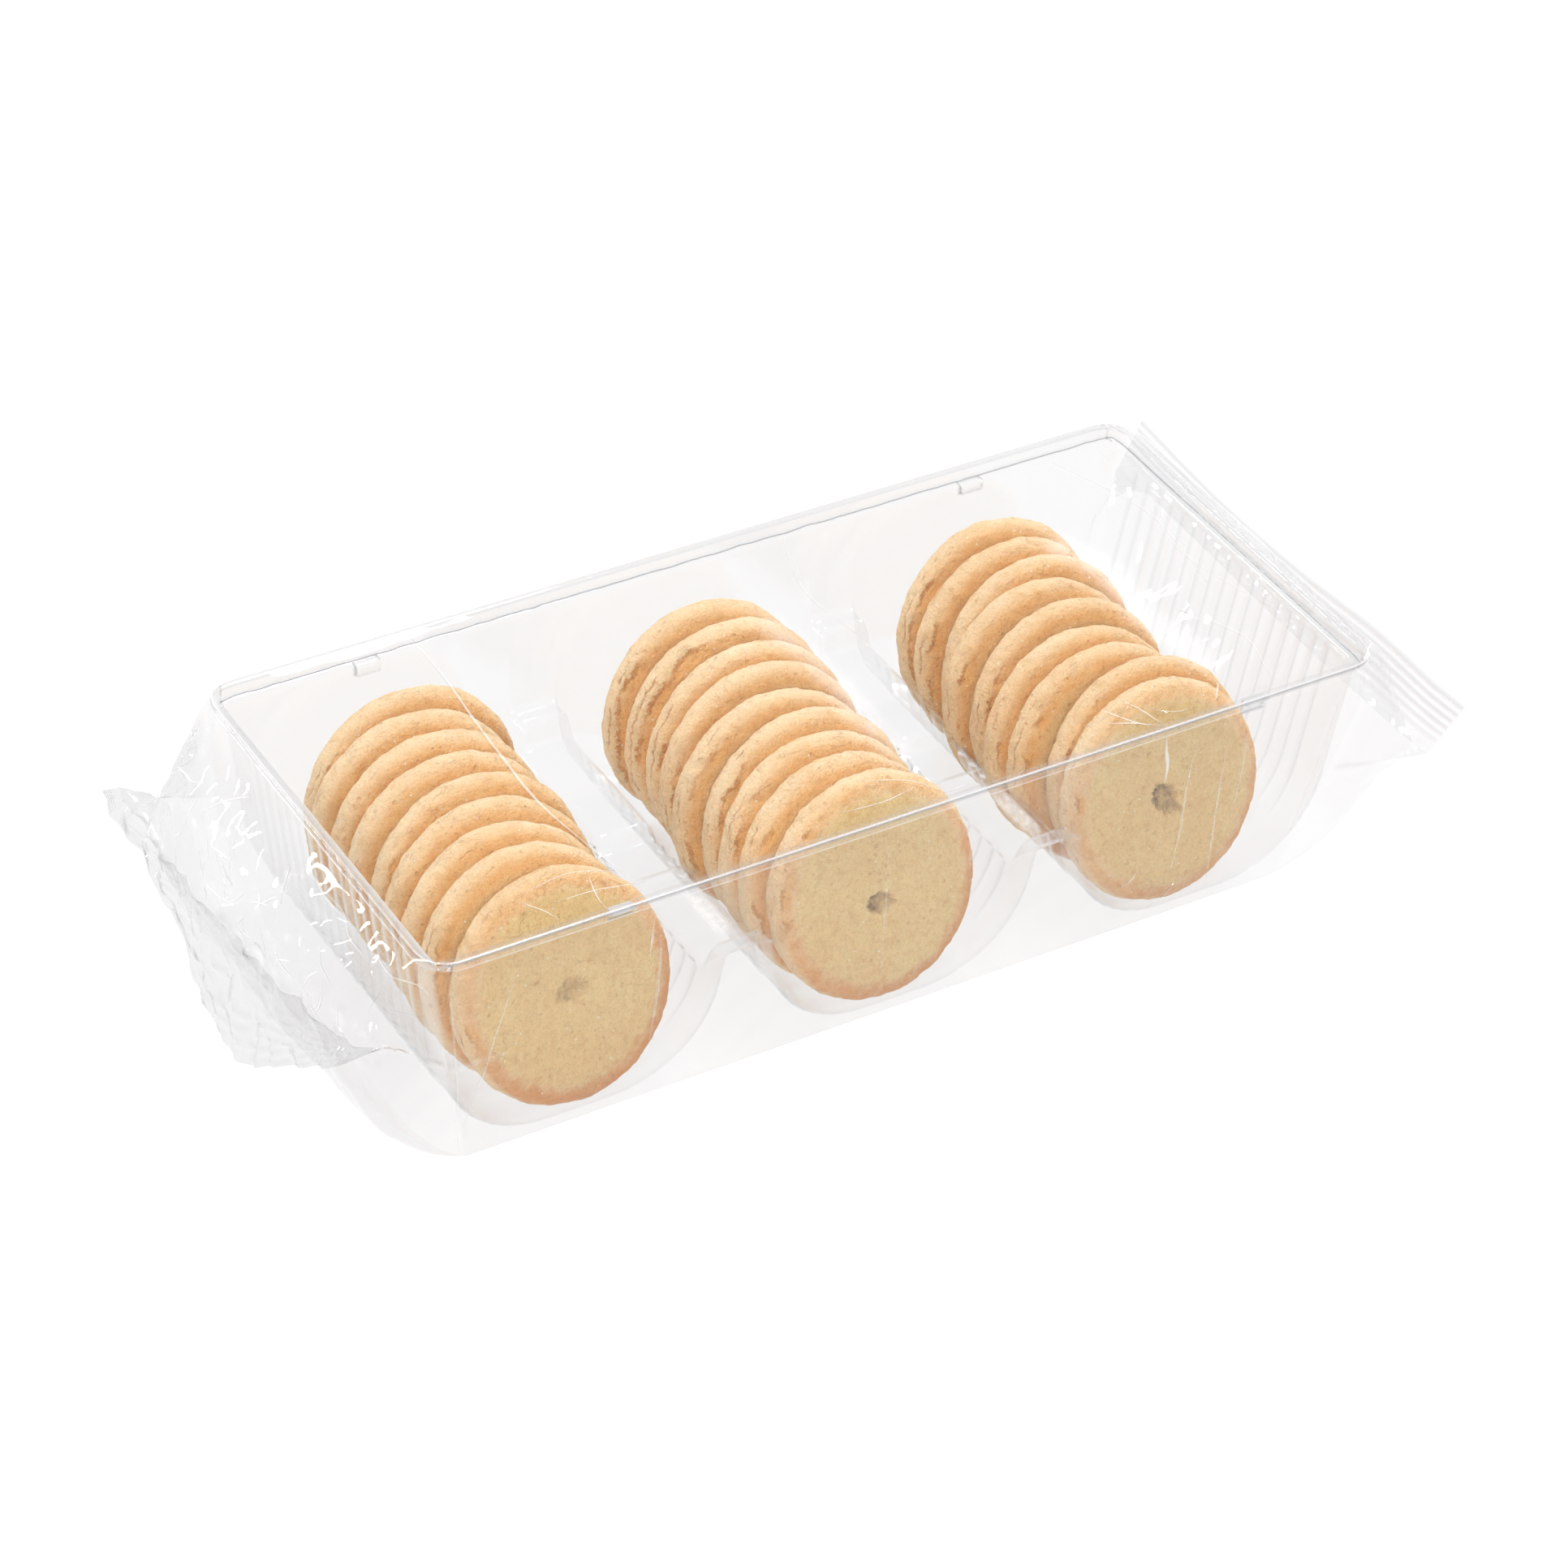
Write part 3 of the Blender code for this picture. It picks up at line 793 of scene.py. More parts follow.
            # painted highlight: the dividers' flat tops are painted white at their near ends, where they would shine
            patchy = 0.75 + 0.5 * Noise(92)(np.stack([ys / 1.7, ys * 0 + 3.0 * f + t, ys * 0], axis=1))
            painted_glint = np.maximum(painted_glint, 0.40 * (side < 0) * (f < 0.9) * patchy * smooth(-44.0, -36.0, ys) * smooth(-18.0, -29.0, ys))
        painted_highlight.append(painted_glint)
        x = centre + side * (dx + FLUTE_DEEP * flute * normal[0])
        z = z + FLUTE_DEEP * flute * normal[1]
        rows.append((x, z))
    xs = np.array([r[0] for r in rows]); zs = np.array([r[1] for r in rows])
    is_ring = np.array([s[0] == "ring" for s in stations])
    # side walls: the section rises from the trough to the ledge
    inner_rows = ~is_ring
    blend = LEDGE - (LEDGE - zs) * share[None, :]
    zs = np.where(inner_rows[:, None] & (ring < 0)[None, :], blend, zs)
    outer = np.array([RINGS[max(r, 0)][1] for r in ring])
    zs = np.where(inner_rows[:, None] & (ring >= 0)[None, :], outer[None, :], zs)
    yy = np.repeat(ys[None, :], len(stations), axis=0)

    marks = np.array(marks)
    # the rim's inner line is not quite straight on the far side
    line = Noise(90)
    along = np.stack([xs.ravel() / 7.0, 0 * xs.ravel(), 0 * xs.ravel() + 3], axis=1)
    waver = (0.45 * line(along) + 0.25 * line(along * 2.7)).reshape(xs.shape)
    yy = yy + waver * ((ring >= 0) & (ring <= 3) & (ys > 0))[None, :] * inner_rows[:, None]
    # slow unevenness of a formed sheet
    sheet = Noise(77)
    flatp = np.stack([xs.ravel(), yy.ravel(), zs.ravel()], axis=1)
    ripple = 0.10 * sheet(flatp / 14.0) + 0.05 * sheet(flatp / 6.0)

    # round the corners in plan
    ax, ay = np.abs(flatp[:, 0]), np.abs(flatp[:, 1])
    zone_x, zone_y = half_x + 4.42 - RIM_CORNER, half_y + 0.95 + 4.42 - RIM_CORNER
    u, v = (ax - zone_x) / RIM_CORNER, (ay - zone_y) / RIM_CORNER
    corner = (u > 0) & (v > 0)
    uu, vv = np.clip(u, 0, 1), np.clip(v, 0, 1)
    nu, nv = uu * np.sqrt(1 - vv**2 / 2), vv * np.sqrt(1 - uu**2 / 2)
    flatp[:, 0] = np.where(corner, np.sign(flatp[:, 0]) * (zone_x + nu * RIM_CORNER), flatp[:, 0])
    flatp[:, 1] = np.where(corner, np.sign(flatp[:, 1]) * (zone_y + nv * RIM_CORNER), flatp[:, 1])
    flatp[:, 2] += np.where(flatp[:, 2] < LEDGE - 1, ripple, 0.3 * ripple)
    flatp[:, 2] = np.maximum(flatp[:, 2], 0.9)

    marks = np.clip(np.array(marks).ravel(), 0, 1)
    painted_highlight = np.array(painted_highlight).ravel()
    marks = np.stack([0 * marks, marks, painted_highlight, 0 * marks], axis=1)
    faces = grid_faces(len(stations), len(ys)).tolist()
    # small square locking lugs that stand in from the wall below the ledge
    for lug_x, lug_side, lug_z in LUGS:
        us = np.array([-3.7, -3.4, -3.1, -2.6, -1.2, 0.0, 1.2, 2.6, 3.1, 3.4, 3.7])
        vs = np.array([LEDGE + 0.12, LEDGE + 0.06, 64.6, 63.6, lug_z - 1.2, lug_z - 1.6, lug_z - 1.9, lug_z - 2.2])
        u, v = np.meshgrid(us, vs)
        edge = np.minimum(np.clip((3.7 - np.abs(u)) / 0.6, 0, 1), np.clip((v - vs[-1]) / 0.6, 0, 1)).ravel()
        y = lug_side * np.where(v.ravel() > LEDGE + 0.1, 59.1, 57.42 - 1.5 * edge)
        start = len(flatp)
        flatp = np.vstack([flatp, np.stack([lug_x + u.ravel(), y, v.ravel()], axis=1)])
        line_share = 1 - np.abs(2 * edge - 1)
        # the lug's outline gets a painted grey shade line and its face a faint painted highlight
        marks = np.vstack([marks, np.stack([0 * edge, 0.70 * line_share, 0.07 * (edge > 0.9), 0 * edge], axis=1)])
        faces += (grid_faces(len(vs), len(us)) + start).tolist()
    obj = make_object("tray", flatp, faces, material, {"marks": marks})
    shell = obj.modifiers.new("sheet", "SOLIDIFY")
    shell.thickness = 0.32 * MM
    shell.offset = -1.0
    shell.use_even_offset = False
    return obj


# -------------------------------------------------------------------- film

FILM_TOP = 69.45
FILM_HALF = 61.75
FILM_FOOT = 57.3
SEAL_GAP = 0.22

# Seals as (share from near to far, x, y, z): where the seal begins and where it ends
LEFT_INNER = ((0.0, -150, -62, 50), (0.12, -153, -57, 47), (0.24, -156, -46, 45), (0.37, -159, -26, 43), (0.5, -160, -2, 41),
              (0.64, -160, 20, 39), (0.78, -158.5, 44, 36), (0.9, -157, 62, 34), (1.0, -156.5, 75, 34))
LEFT_OUTER = ((0.0, -153, -61, 50), (0.12, -156, -54, 42), (0.24, -158, -45, 33.5), (0.37, -160, -25, 19), (0.5, -161.5, -5, 7),
              (0.64, -161, 20, 10.5), (0.78, -160, 42, 22), (0.9, -160, 60, 27), (1.0, -160, 77.5, 32.5))
RIGHT_INNER = ((0.0, 158, -66, 34), (0.15, 158, -56, 33), (0.35, 157.5, -30, 33), (0.6, 158, 10, 33), (0.85, 158.5, 55, 34), (1.0, 159, 83, 34))
RIGHT_OUTER = ((0.0, 168, -66.5, 46.8), (0.15, 168, -53, 46), (0.35, 168, -28, 46.3), (0.6, 167.5, 12, 43.5), (0.85, 168, 55, 43), (1.0, 168, 86, 45.5))


def film_section():
    """Upper and lower half of the wrap's section as (share, y, z), near side's middle to far side's middle."""
    upper, lower = [], []
    side = 22
    # upper: near side up, top across, far side down
    for k in range(side):
        f = k / side
        upper.append((0.18 * f, -59.6 - 2.05 * f, 35 + (FILM_TOP - 1.3 - 35) * f))
    for k in range(6):
        a = math.radians(180 - 90 * k / 5)
        upper.append((0.18 + 0.008 * k / 5, -FILM_HALF + 1.3 + 1.3 * math.cos(a), FILM_TOP - 1.3 + 1.3 * math.sin(a)))
    count = 118
    for k in range(1, count):
        f = k / count
        upper.append((0.188 + 0.624 * f, -FILM_HALF + 1.3 + (2 * FILM_HALF - 2.6) * f, FILM_TOP))
    mirrored = [(1 - s, -y, z) for s, y, z in upper[: side + 6]]
    upper += mirrored[::-1]
    for k in range(side):
        f = k / side
        lower.append((0.18 * f, -59.6 + 2.3 * f, 35 - (35 - 2.4) * f))
    for k in range(6):
        a = math.radians(180 + 90 * k / 5)
        lower.append((0.18 + 0.008 * k / 5, -FILM_FOOT + 2.4 + 2.4 * math.cos(a), 2.4 + 2.4 * math.sin(a)))
    for k in range(1, count):
        f = k / count
        lower.append((0.188 + 0.624 * f, -FILM_FOOT + 2.4 + (2 * FILM_FOOT - 4.8) * f, 0.0))
    mirrored = [(1 - s, -y, z) for s, y, z in lower[: side + 6]]
    lower += mirrored[::-1]
    return np.array(upper), np.array(lower)


def bezier(a, b, c, t):
    return (1 - t) ** 2 * a + 2 * t * (1 - t) * b + t * t * c


def ridge(p, ends, width, height, wander=None):
    """A crease along a path of (x, y) points, as a height."""
    best = np.full(len(p), 1e9)
    along = np.zeros(len(p))
    total = sum(math.dist(a, b) for a, b in zip(ends, ends[1:]))
    done = 0.0
    for a, b in zip(ends, ends[1:]):
        a, b = np.array(a, float), np.array(b, float)
        v = b - a
        length = np.linalg.norm(v)
        t = np.clip(((p - a) @ v) / length**2, 0, 1)
        d = np.linalg.norm(p - (a + t[:, None] * v), axis=1)
        closer = d < best
        best = np.where(closer, d, best)
        along = np.where(closer, (done + t * length) / total, along)
        done += length
    fade = smooth(0.0, 0.12, along) * smooth(1.0, 0.85, along) if len(ends) > 1 else 1.0
    return height * np.maximum(0.0, 1 - best / (1.6 * width)) * (0.2 + 0.8 * fade)


def make_film(material):
    upper, lower = film_section()
    n = len(upper)
    share = upper[:, 0]
    ring = np.vstack([upper, lower[::-1][1:-1]])          # round once: near, over the top, far, back below
    layer = np.concatenate([np.ones(n), -np.ones(n - 2)])
    s_ring = ring[:, 0]
    cols = len(ring)
    ry, rz = ring[:, 1].copy(), ring[:, 2].copy()
    high = rz / FILM_TOP

    # where the straight part ends on each side, round the ring
    def ends_at(side):
        if side < 0:
            low = spline([-58, -52, -44, -30, 0, 30, 58], [-124, -129, -132, -133, -133, -133, -130], ry)
            return low + (-140.9 - low) * high
        low = spline([-58, -52, -44, -30, 0, 30, 58], [116, 122, 127, 130, 130, 130, 126], ry)
        return low + (140.9 - low) * high

    x0, x1 = ends_at(-1), ends_at(1)
    rows = []
    body_rows = 142
    for k in range(body_rows + 1):
        f = k / body_rows
        x = x0 + (x1 - x0) * f
        # the rim's rounded corners draw the wrap in
        past = np.clip(np.abs(x) - (TRAY_HALF[0] - RIM_CORNER), 0, RIM_CORNER)
        pull = (RIM_CORNER - np.sqrt(np.maximum(RIM_CORNER**2 - past**2, 9.0))) * high**1.5
        near_side = np.abs(ry) > 40
        y = np.where(near_side, np.sign(ry) * (np.abs(ry) - 0.85 * pull * smooth(40, 60, np.abs(ry))), ry)
        rows.append(np.stack([x, y, rz], axis=1))

    def pocket(side, inner, outer, steps, seal_steps):
        inner, outer = np.array(inner, float), np.array(outer, float)
        a = spline(inner[:, 0], inner[:, 1:], s_ring)
        b = spline(outer[:, 0], outer[:, 1:], s_ring)
        start = rows[0] if side < 0 else rows[-1]
        # the direction in which the film leaves the tray
        bend = 0.5 * (start + a)
        top = layer > 0
        push = side * np.where(top, 4.5, 3.0)
        bend[:, 0] = np.where(top, 0.45 * start[:, 0] + 0.55 * a[:, 0] + push, 0.25 * start[:, 0] + 0.75 * a[:, 0])
        lift = np.where(top, 0.68, 0.12)
        bend[:, 2] = np.where(top, start[:, 2] * lift + a[:, 2] * (1 - lift), 0.86 * start[:, 2] + 0.14 * a[:, 2])
        # near the sides both layers meet, so the two rules are joined there
        mid = smooth(0.0, 0.16, s_ring) * smooth(1.0, 0.84, s_ring)
        plain = 0.5 * (start + a)
        bend = plain + (bend - plain) * mid[:, None]
        out = []
        for k in range(1, steps + 1):
            t = k / steps
            out.append(bezier(start, bend, a, t))
        for k in range(1, seal_steps + 1):
            t = k / seal_steps
            out.append(a + (b - a) * t)
        return out

    steps, seal_steps = 26, 15
    left = pocket(-1, LEFT_INNER, LEFT_OUTER, steps, seal_steps)
    right = pocket(1, RIGHT_INNER, RIGHT_OUTER, steps, seal_steps)
    grid = np.array(left[::-1] + rows + right)
    total_rows = len(grid)
    left_count = steps + seal_steps
    # how far along the pocket and the seal each row is
    pocket_part = np.zeros(total_rows)
    seal_part = np.zeros(total_rows)
    for k in range(steps):
        pocket_part[left_count - 1 - k] = (k + 1) / steps
        pocket_part[left_count + len(rows) + k] = (k + 1) / steps
    for k in range(seal_steps):
        i, j = seal_steps - 1 - k, left_count + len(rows) + steps + k
        pocket_part[i] = pocket_part[j] = 1.0
        seal_part[i] = seal_part[j] = (k + 1) / seal_steps

    p = grid.reshape(-1, 3)
    pocket_all = np.repeat(pocket_part, cols)
    seal_all = np.repeat(seal_part, cols)
    layer_all = np.tile(layer, total_rows)
    share_all = np.tile(s_ring, total_rows)
    left_all = p[:, 0] < 0

    # normals of the undisturbed wrap
    du = np.gradient(grid, axis=0)
    dv = (np.roll(grid, -1, axis=1) - np.roll(grid, 1, axis=1)) / 2
    normal = np.cross(dv, du).reshape(-1, 3)
    normal /= np.maximum(np.linalg.norm(normal, axis=1, keepdims=True), 1e-9)
    centre = np.array([0.0, 0.0, 34.0])
    if np.mean(np.einsum("ij,ij->i", normal, p - centre)) < 0:
        normal = -normal

    move = np.zeros(len(p))
    # crumpled pockets: both ends, more on the left
    loose = smooth(0.0, 0.24, pocket_all) * (1 - 0.75 * smooth(0.8, 1.0, pocket_all))
    amount = np.where(left_all, 2.2, 1.6)
    below = np.where(layer_all < 0, 0.55, 1.0)
    tight = smooth(0.35, 0.9, pocket_all)
    # unrolled place: round the wrap and along the pocket
    steps_round = np.linalg.norm(np.diff(ring[:, 1:], axis=0, append=ring[:1, 1:]), axis=1)
    unrolled = np.stack([np.tile(np.cumsum(steps_round), total_rows), 44.0 * pocket_all + 18.0 * seal_all + 0.25 * np.where(pocket_all > 0, 0, 141 - np.abs(p[:, 0]))], axis=1)
    bend = Facets(3)
    unrolled += 3.0 * np.stack([bend(unrolled / 19.0, 0.4), bend(unrolled / 23.0, 1.9)], axis=1)
    large, medium, small = Facets(11), Facets(12), Facets(13)
    facets = 1.9 * large(unrolled / 24.0, 0.9, 1.5) + 1.15 * medium(unrolled / 12.5, 2.3, 1.8)
    facets += (0.55 + 0.45 * tight) * 0.62 * small(unrolled / 5.6, 0.5, 1.7)
    near_end = smooth(-100.0, -136.0, p[:, 0]) * (pocket_all == 0) * smooth(0.0, 6.0, p[:, 2]) * smooth(FILM_TOP - 2.0, FILM_TOP - 22.0, p[:, 2])
    move += (loose * np.where(left_all, 1.0, np.where(layer_all > 0, 0.6, 0.55)) * below + 0.35 * near_end) * facets
    move += loose * 0.15 * amount * below * crumple(p, 9, 12, 4.0, 13.0)
    # body: straight pulls on the long sides and the top
    body = (pocket_all == 0)
    wide = Noise(31)
    side_wall = smooth(56.0, 58.0, np.abs(p[:, 1])) * body
    streak = wide(np.stack([p[:, 0] / 5.5, p[:, 1] * 0, p[:, 2] / 45.0], axis=1))
    slow = wide(np.stack([p[:, 0] / 22.0, p[:, 1] * 0 + 5, p[:, 2] / 60.0], axis=1))
    keep = smooth(0.0, 7.0, p[:, 2]) * smooth(FILM_TOP, FILM_TOP - 7.0, p[:, 2])
    move += side_wall * keep * (0.30 * streak + 0.55 * slow) * 0.8
    top = body & (p[:, 2] > FILM_TOP - 0.05)
    top_keep = smooth(0.0, 6.0, FILM_HALF - np.abs(p[:, 1])) * smooth(0.0, 10.0, 140.9 - np.abs(p[:, 0]))
    tops = np.zeros(len(p))
    painted_sheen = np.zeros(len(p))
    if top.any():
        q = p[top][:, :2]
        relief = -0.8 + 0.35 * wide(np.stack([q[:, 0] / 38.0, q[:, 1] / 38.0, q[:, 0] * 0], axis=1))
        relief += 0.16 * wide(np.stack([q[:, 0] / 9.0, q[:, 1] / 30.0, q[:, 0] * 0 + 3], axis=1))
        gather = smooth(26.0, 4.0, q[:, 1] + FILM_HALF) + 0.35
        flatq = np.stack([q[:, 0], q[:, 1], 0 * q[:, 0]], axis=1)
        relief += 0.22 * gather * crumple(flatq, 41, 10, 5.0, 22.0)
        tops[top] = relief
        # painted sheen: a soft painted reflection where the film passes the right flanks of the rows
        for path, width, strong in PAINTED_SHEEN:
            soft = np.clip(ridge(q, path, width, 1.0), 0, 1)
            soft = smooth(0.0, 1.0, soft) * (0.75 + 0.5 * wide(flatq / 7.0)) * (0.85 + 0.3 * wide(flatq / (1.6, 6.0, 1.0)))
            painted_sheen[top] = np.maximum(painted_sheen[top], strong * np.clip(soft, 0, 1))
    # seals: both layers share the same waves, with crimps along the seal
    in_seal = smooth(0.85, 1.0, pocket_all)
    wave = Noise(53)
    bow = wave(np.stack([p[:, 1] / 26.0, p[:, 2] / 30.0, np.where(left_all, 2.0, 9.0)], axis=1))
    bow = bow + 0.45 * wave(np.stack([p[:, 1] / 9.0, p[:, 2] / 18.0, np.where(left_all, 4.0, 7.0)], axis=1))
    crimp = np.sin(2 * math.pi * seal_all * 15.0 / 2.1) * (seal_all > 0)
    axis = np.array([1.0, 0.0, 0.0]) * np.where(left_all, 1.0, 0.75)[:, None] + np.array([0.0, 0.0, 1.0]) * np.where(left_all, 0.15, -0.65)[:, None]
    axis /= np.linalg.norm(axis, axis=1, keepdims=True)
    shared = in_seal * (1.5 * bow * np.where(left_all, 1.35, 0.7) + 0.22 * crimp)
    folded = in_seal * left_all * 1.25 * crumple(np.stack([p[:, 0] * 0, p[:, 1], p[:, 2]], axis=1), 17, 9, 4.0, 16.0)
    p = p + normal * ((move + tops * top_keep * top) * (1 - in_seal))[:, None] + axis * (shared + folded)[:, None]
    # hold the two layers a little apart
    p += axis * (np.where(left_all, 1, -1) * -0.5 * SEAL_GAP * layer_all * in_seal)[:, None]
    p[:, 2] = np.maximum(p[:, 2], 0.02 + 0.0 * p[:, 2])

    faces = grid_faces(total_rows, cols, wrap_cols=True).tolist()
    # close both ends between the two layers
    for base, turn in ((0, 1), ((total_rows - 1) * cols, -1)):
        for k in range(n - 1):
            a, b = k, k + 1
            # the lower layer's points run back from the far side
            low_a = a if a == 0 else cols - a
            low_b = b if b == n - 1 else cols - b
            quad = [base + a, base + b, base + low_b, base + low_a]
            quad = [q for i, q in enumerate(quad) if q not in quad[:i]]
            if len(quad) > 2:
                faces.append(tuple(quad if turn > 0 else quad[::-1]))
    # where the sheet is slack, and where it folds sharply: folds bent one way get a painted grey shade line, the other
    # way a painted white highlight
    slack = smooth(0.0, np.where(layer_all > 0, 0.25, 0.95), pocket_all) * np.where(left_all, 1.0, 0.28)
    slack *= np.where(seal_all > 0, 0.72, 1.0)
    relief = ((move + tops * top_keep * top) * (1 - in_seal) + shared + folded).reshape(total_rows, cols)
    pad = np.pad(relief, ((1, 1), (0, 0)), mode="edge")
    bend_u = pad[2:] + pad[:-2] - 2 * relief
    bend_v = np.roll(relief, 1, axis=1) + np.roll(relief, -1, axis=1) - 2 * relief
    sharp = np.where(np.abs(bend_u) > np.abs(bend_v), bend_u, bend_v).ravel()
    fold = smooth(0.22, 0.85, np.abs(sharp))
    fold *= np.where(seal_all > 0, np.where(left_all, 0.20, 0.50), np.where(pocket_all > 0, np.where(left_all, 0.9, 0.5), 0.40))
    on_top = np.where(top, 2.0, 1.0)
    # the alpha mark is painted shade on the upright sides
    marks = np.stack([slack, 0.50 * fold * (sharp > 0) / on_top, np.maximum(0.30 * fold * (sharp < 0) * on_top, painted_sheen), side_wall * 1.0], axis=1)

    # narrow folds that lie on the lid and on the near side, with a painted white highlight and a painted grey shade
    # line
    near_wall = (side_wall > 0.5) & (p[:, 1] < 0)
    sheet_points = p.copy()
    upper_left = left_all & (pocket_all > 0) & (seal_all == 0) & (layer_all > 0)
    upper_right = ~left_all & (pocket_all > 0) & (seal_all == 0) & (layer_all > 0)
    places = (
        (LID_FOLDS, top, (0, 1), 2, 1), (SIDE_FOLDS, near_wall, (0, 2), 1, -1),
        (pocket_folds(5, 44, 0.6), upper_left, (1, 2), 0, -1), (pocket_folds(8, 16, 0.4), upper_right, (1, 2), 0, 1),
    )
    for folds, where, plane, level, outward in places:
        under = sheet_points[where]
        for path, width, painted_white, shade_grey in folds:
            spots, quads, shades = fold_strip(path, width, painted_white, shade_grey)
            gap = ((spots[:, None, :2] - under[None][:, :, plane]) ** 2).sum(axis=2)
            base = under[gap.argmin(axis=1), level]
            # follow the sheet smoothly along the fold
            base = base.reshape(5, -1)
            for _ in range(3):
                ends = np.pad(base, ((0, 0), (1, 1)), mode="edge")
                base = 0.25 * ends[:, :-2] + 0.5 * base + 0.25 * ends[:, 2:]
            base = np.where(np.arange(5)[:, None] % 4 == 0, base, base.mean(axis=0)[None]).ravel()
            rise = spots[:, 2] * outward
            placed = np.zeros((len(spots), 3))
            placed[:, plane[0]], placed[:, plane[1]], placed[:, level] = spots[:, 0], spots[:, 1], base + rise
            faces += [tuple(f) for f in (quads + len(p)).tolist()]
            p = np.vstack([p, placed])
            marks = np.vstack([marks, shades])
    return make_object("film_wrap", p, faces, material, {"marks": marks}, crease=13.0)


def pocket_folds(seed, count, strong):
    """Short creases scattered over a loose pocket, as paths of (y, z) that mostly run from the rim to the seal, each
    with a painted white highlight and a painted grey shade line.
    """
    rng = np.random.RandomState(seed)
    folds = []
    for _ in range(count):
        y, z = rng.uniform(-52, 62), rng.uniform(47, 66)
        lean = rng.normal() * 0.75
        size = 4 + 9 * rng.rand() ** 2
        kink = rng.normal() * 0.35
        middle = (y + size * math.sin(lean), z - 0.5 * size * math.cos(lean))
        end = (middle[0] + size * math.sin(lean + kink), middle[1] - 0.5 * size * math.cos(lean + kink))
        painted_white = strong * (0.35 + 0.65 * rng.rand())
        folds.append((((y, z), middle, (end[0], max(end[1], 44.5))), 0.24 + 0.30 * rng.rand() ** 2, painted_white, 0.5 * strong * rng.rand() + 0.12))
    return folds


def fold_strip(path, width, painted_white, shade_grey):
    """A narrow fold along a path in a plane: points (a, b, height), quads and marks of its painted highlight and
    painted shade line.
    """
    path = np.asarray(path, float)
    run = np.concatenate([[0.0], np.cumsum(np.linalg.norm(np.diff(path, axis=0), axis=1))])
    at = np.linspace(0.0, run[-1], max(9, int(run[-1] / 1.3)))
    line = np.stack([spline(run, path[:, k], at) for k in range(2)], axis=1)
    way = np.gradient(line, axis=0)
    way /= np.linalg.norm(way, axis=1, keepdims=True)
    aside = np.stack([way[:, 1], -way[:, 0]], axis=1)
    uneven = Noise(61)(np.stack([at / 6.0, at * 0 + path[0, 0], at * 0 + path[0, 1]], axis=1))
    taper = np.sin(math.pi * np.clip(at / run[-1], 0.03, 0.97)) ** 0.6 * (1 + 0.45 * uneven)
    shape = ((-1.0, 0.03, 0.0, 0.0), (-0.40, 0.22, painted_white, 0.0), (0.25, 0.26, 0.75 * painted_white, 0.0), (0.65, 0.14, 0.0, shade_grey), (1.0, 0.03, 0.0, 0.0))
    points, marks = [], []
    for off, height, highlight_pale, shade_dark in shape:
        q = line + aside * (off * width * taper)[:, None]
        points.append(np.stack([q[:, 0], q[:, 1], height + 0 * at], axis=1))
        fade = np.clip(0.55 + 0.45 * taper, 0, 1)
        marks.append(np.stack([0 * at, shade_dark * fade, highlight_pale * fade, 0 * at], axis=1))
    return np.concatenate(points), grid_faces(len(shape), len(at)), np.concatenate(marks)


# Folds on the lid as paths of (x, y) with width, painted white highlight and painted grey shade line
LID_FOLDS = (
    (((-81.7, 60.5), (-82.0, 40.0), (-83.6, 22.0), (-84.8, 4.0), (-85.6, -14.0), (-83.2, -34.0), (-80.2, -52.0)), 0.62, 0.34, 0.55),
    (((58.6, -52.3), (66.0, -56.0), (71.6, -60.5)), 0.40, 0.55, 0.35),
    (((60.9, -47.0), (65.4, -54.6), (69.0, -59.4)), 0.38, 0.55, 0.30),
    (((67.6, -44.9), (70.8, -53.1), (71.9, -60.0)), 0.34, 0.50, 0.30),
    (((73.3, -52.8), (78.1, -56.6), (82.7, -57.4)), 0.38, 0.45, 0.30),
    (((90.3, -57.0), (96.0, -50.0)), 0.32, 0.40, 0.30),
    (((-20.0, -53.7), (-8.4, -54.1), (2.3, -52.2)), 0.36, 0.45, 0.30),
    (((7.0, -58.2), (14.2, -58.0)), 0.32, 0.45, 0.25),
    (((-9.5, -44.5), (2.0, -50.0), (7.0, -58.0)), 0.34, 0.40, 0.25),
    (((-108.3, -48.1), (-104.8, -53.4), (-103.0, -58.6)), 0.34, 0.45, 0.25),
    (((-106.8, -45.4), (-92.6, -43.9), (-82.0, -48.0)), 0.34, 0.40, 0.30),
    (((-101.4, -51.6), (-88.6, -52.8), (-77.5, -55.0)), 0.34, 0.40, 0.30),
    (((-88.6, -46.7), (-90.6, -54.0), (-91.3, -60.6)), 0.34, 0.45, 0.30),
    (((28.0, 56.0), (20.0, 30.0), (22.0, 8.0)), 0.30, 0.16, 0.22),
    (((112.0, 52.0), (122.0, 20.0), (118.0, -14.0)), 0.32, 0.20, 0.24),
    (((126.0, 30.0), (120.0, 2.0), (127.0, -30.0)), 0.32, 0.20, 0.24),
    (((104.0, -20.0), (113.0, -38.0), (109.0, -55.0)), 0.34, 0.26, 0.24),
)

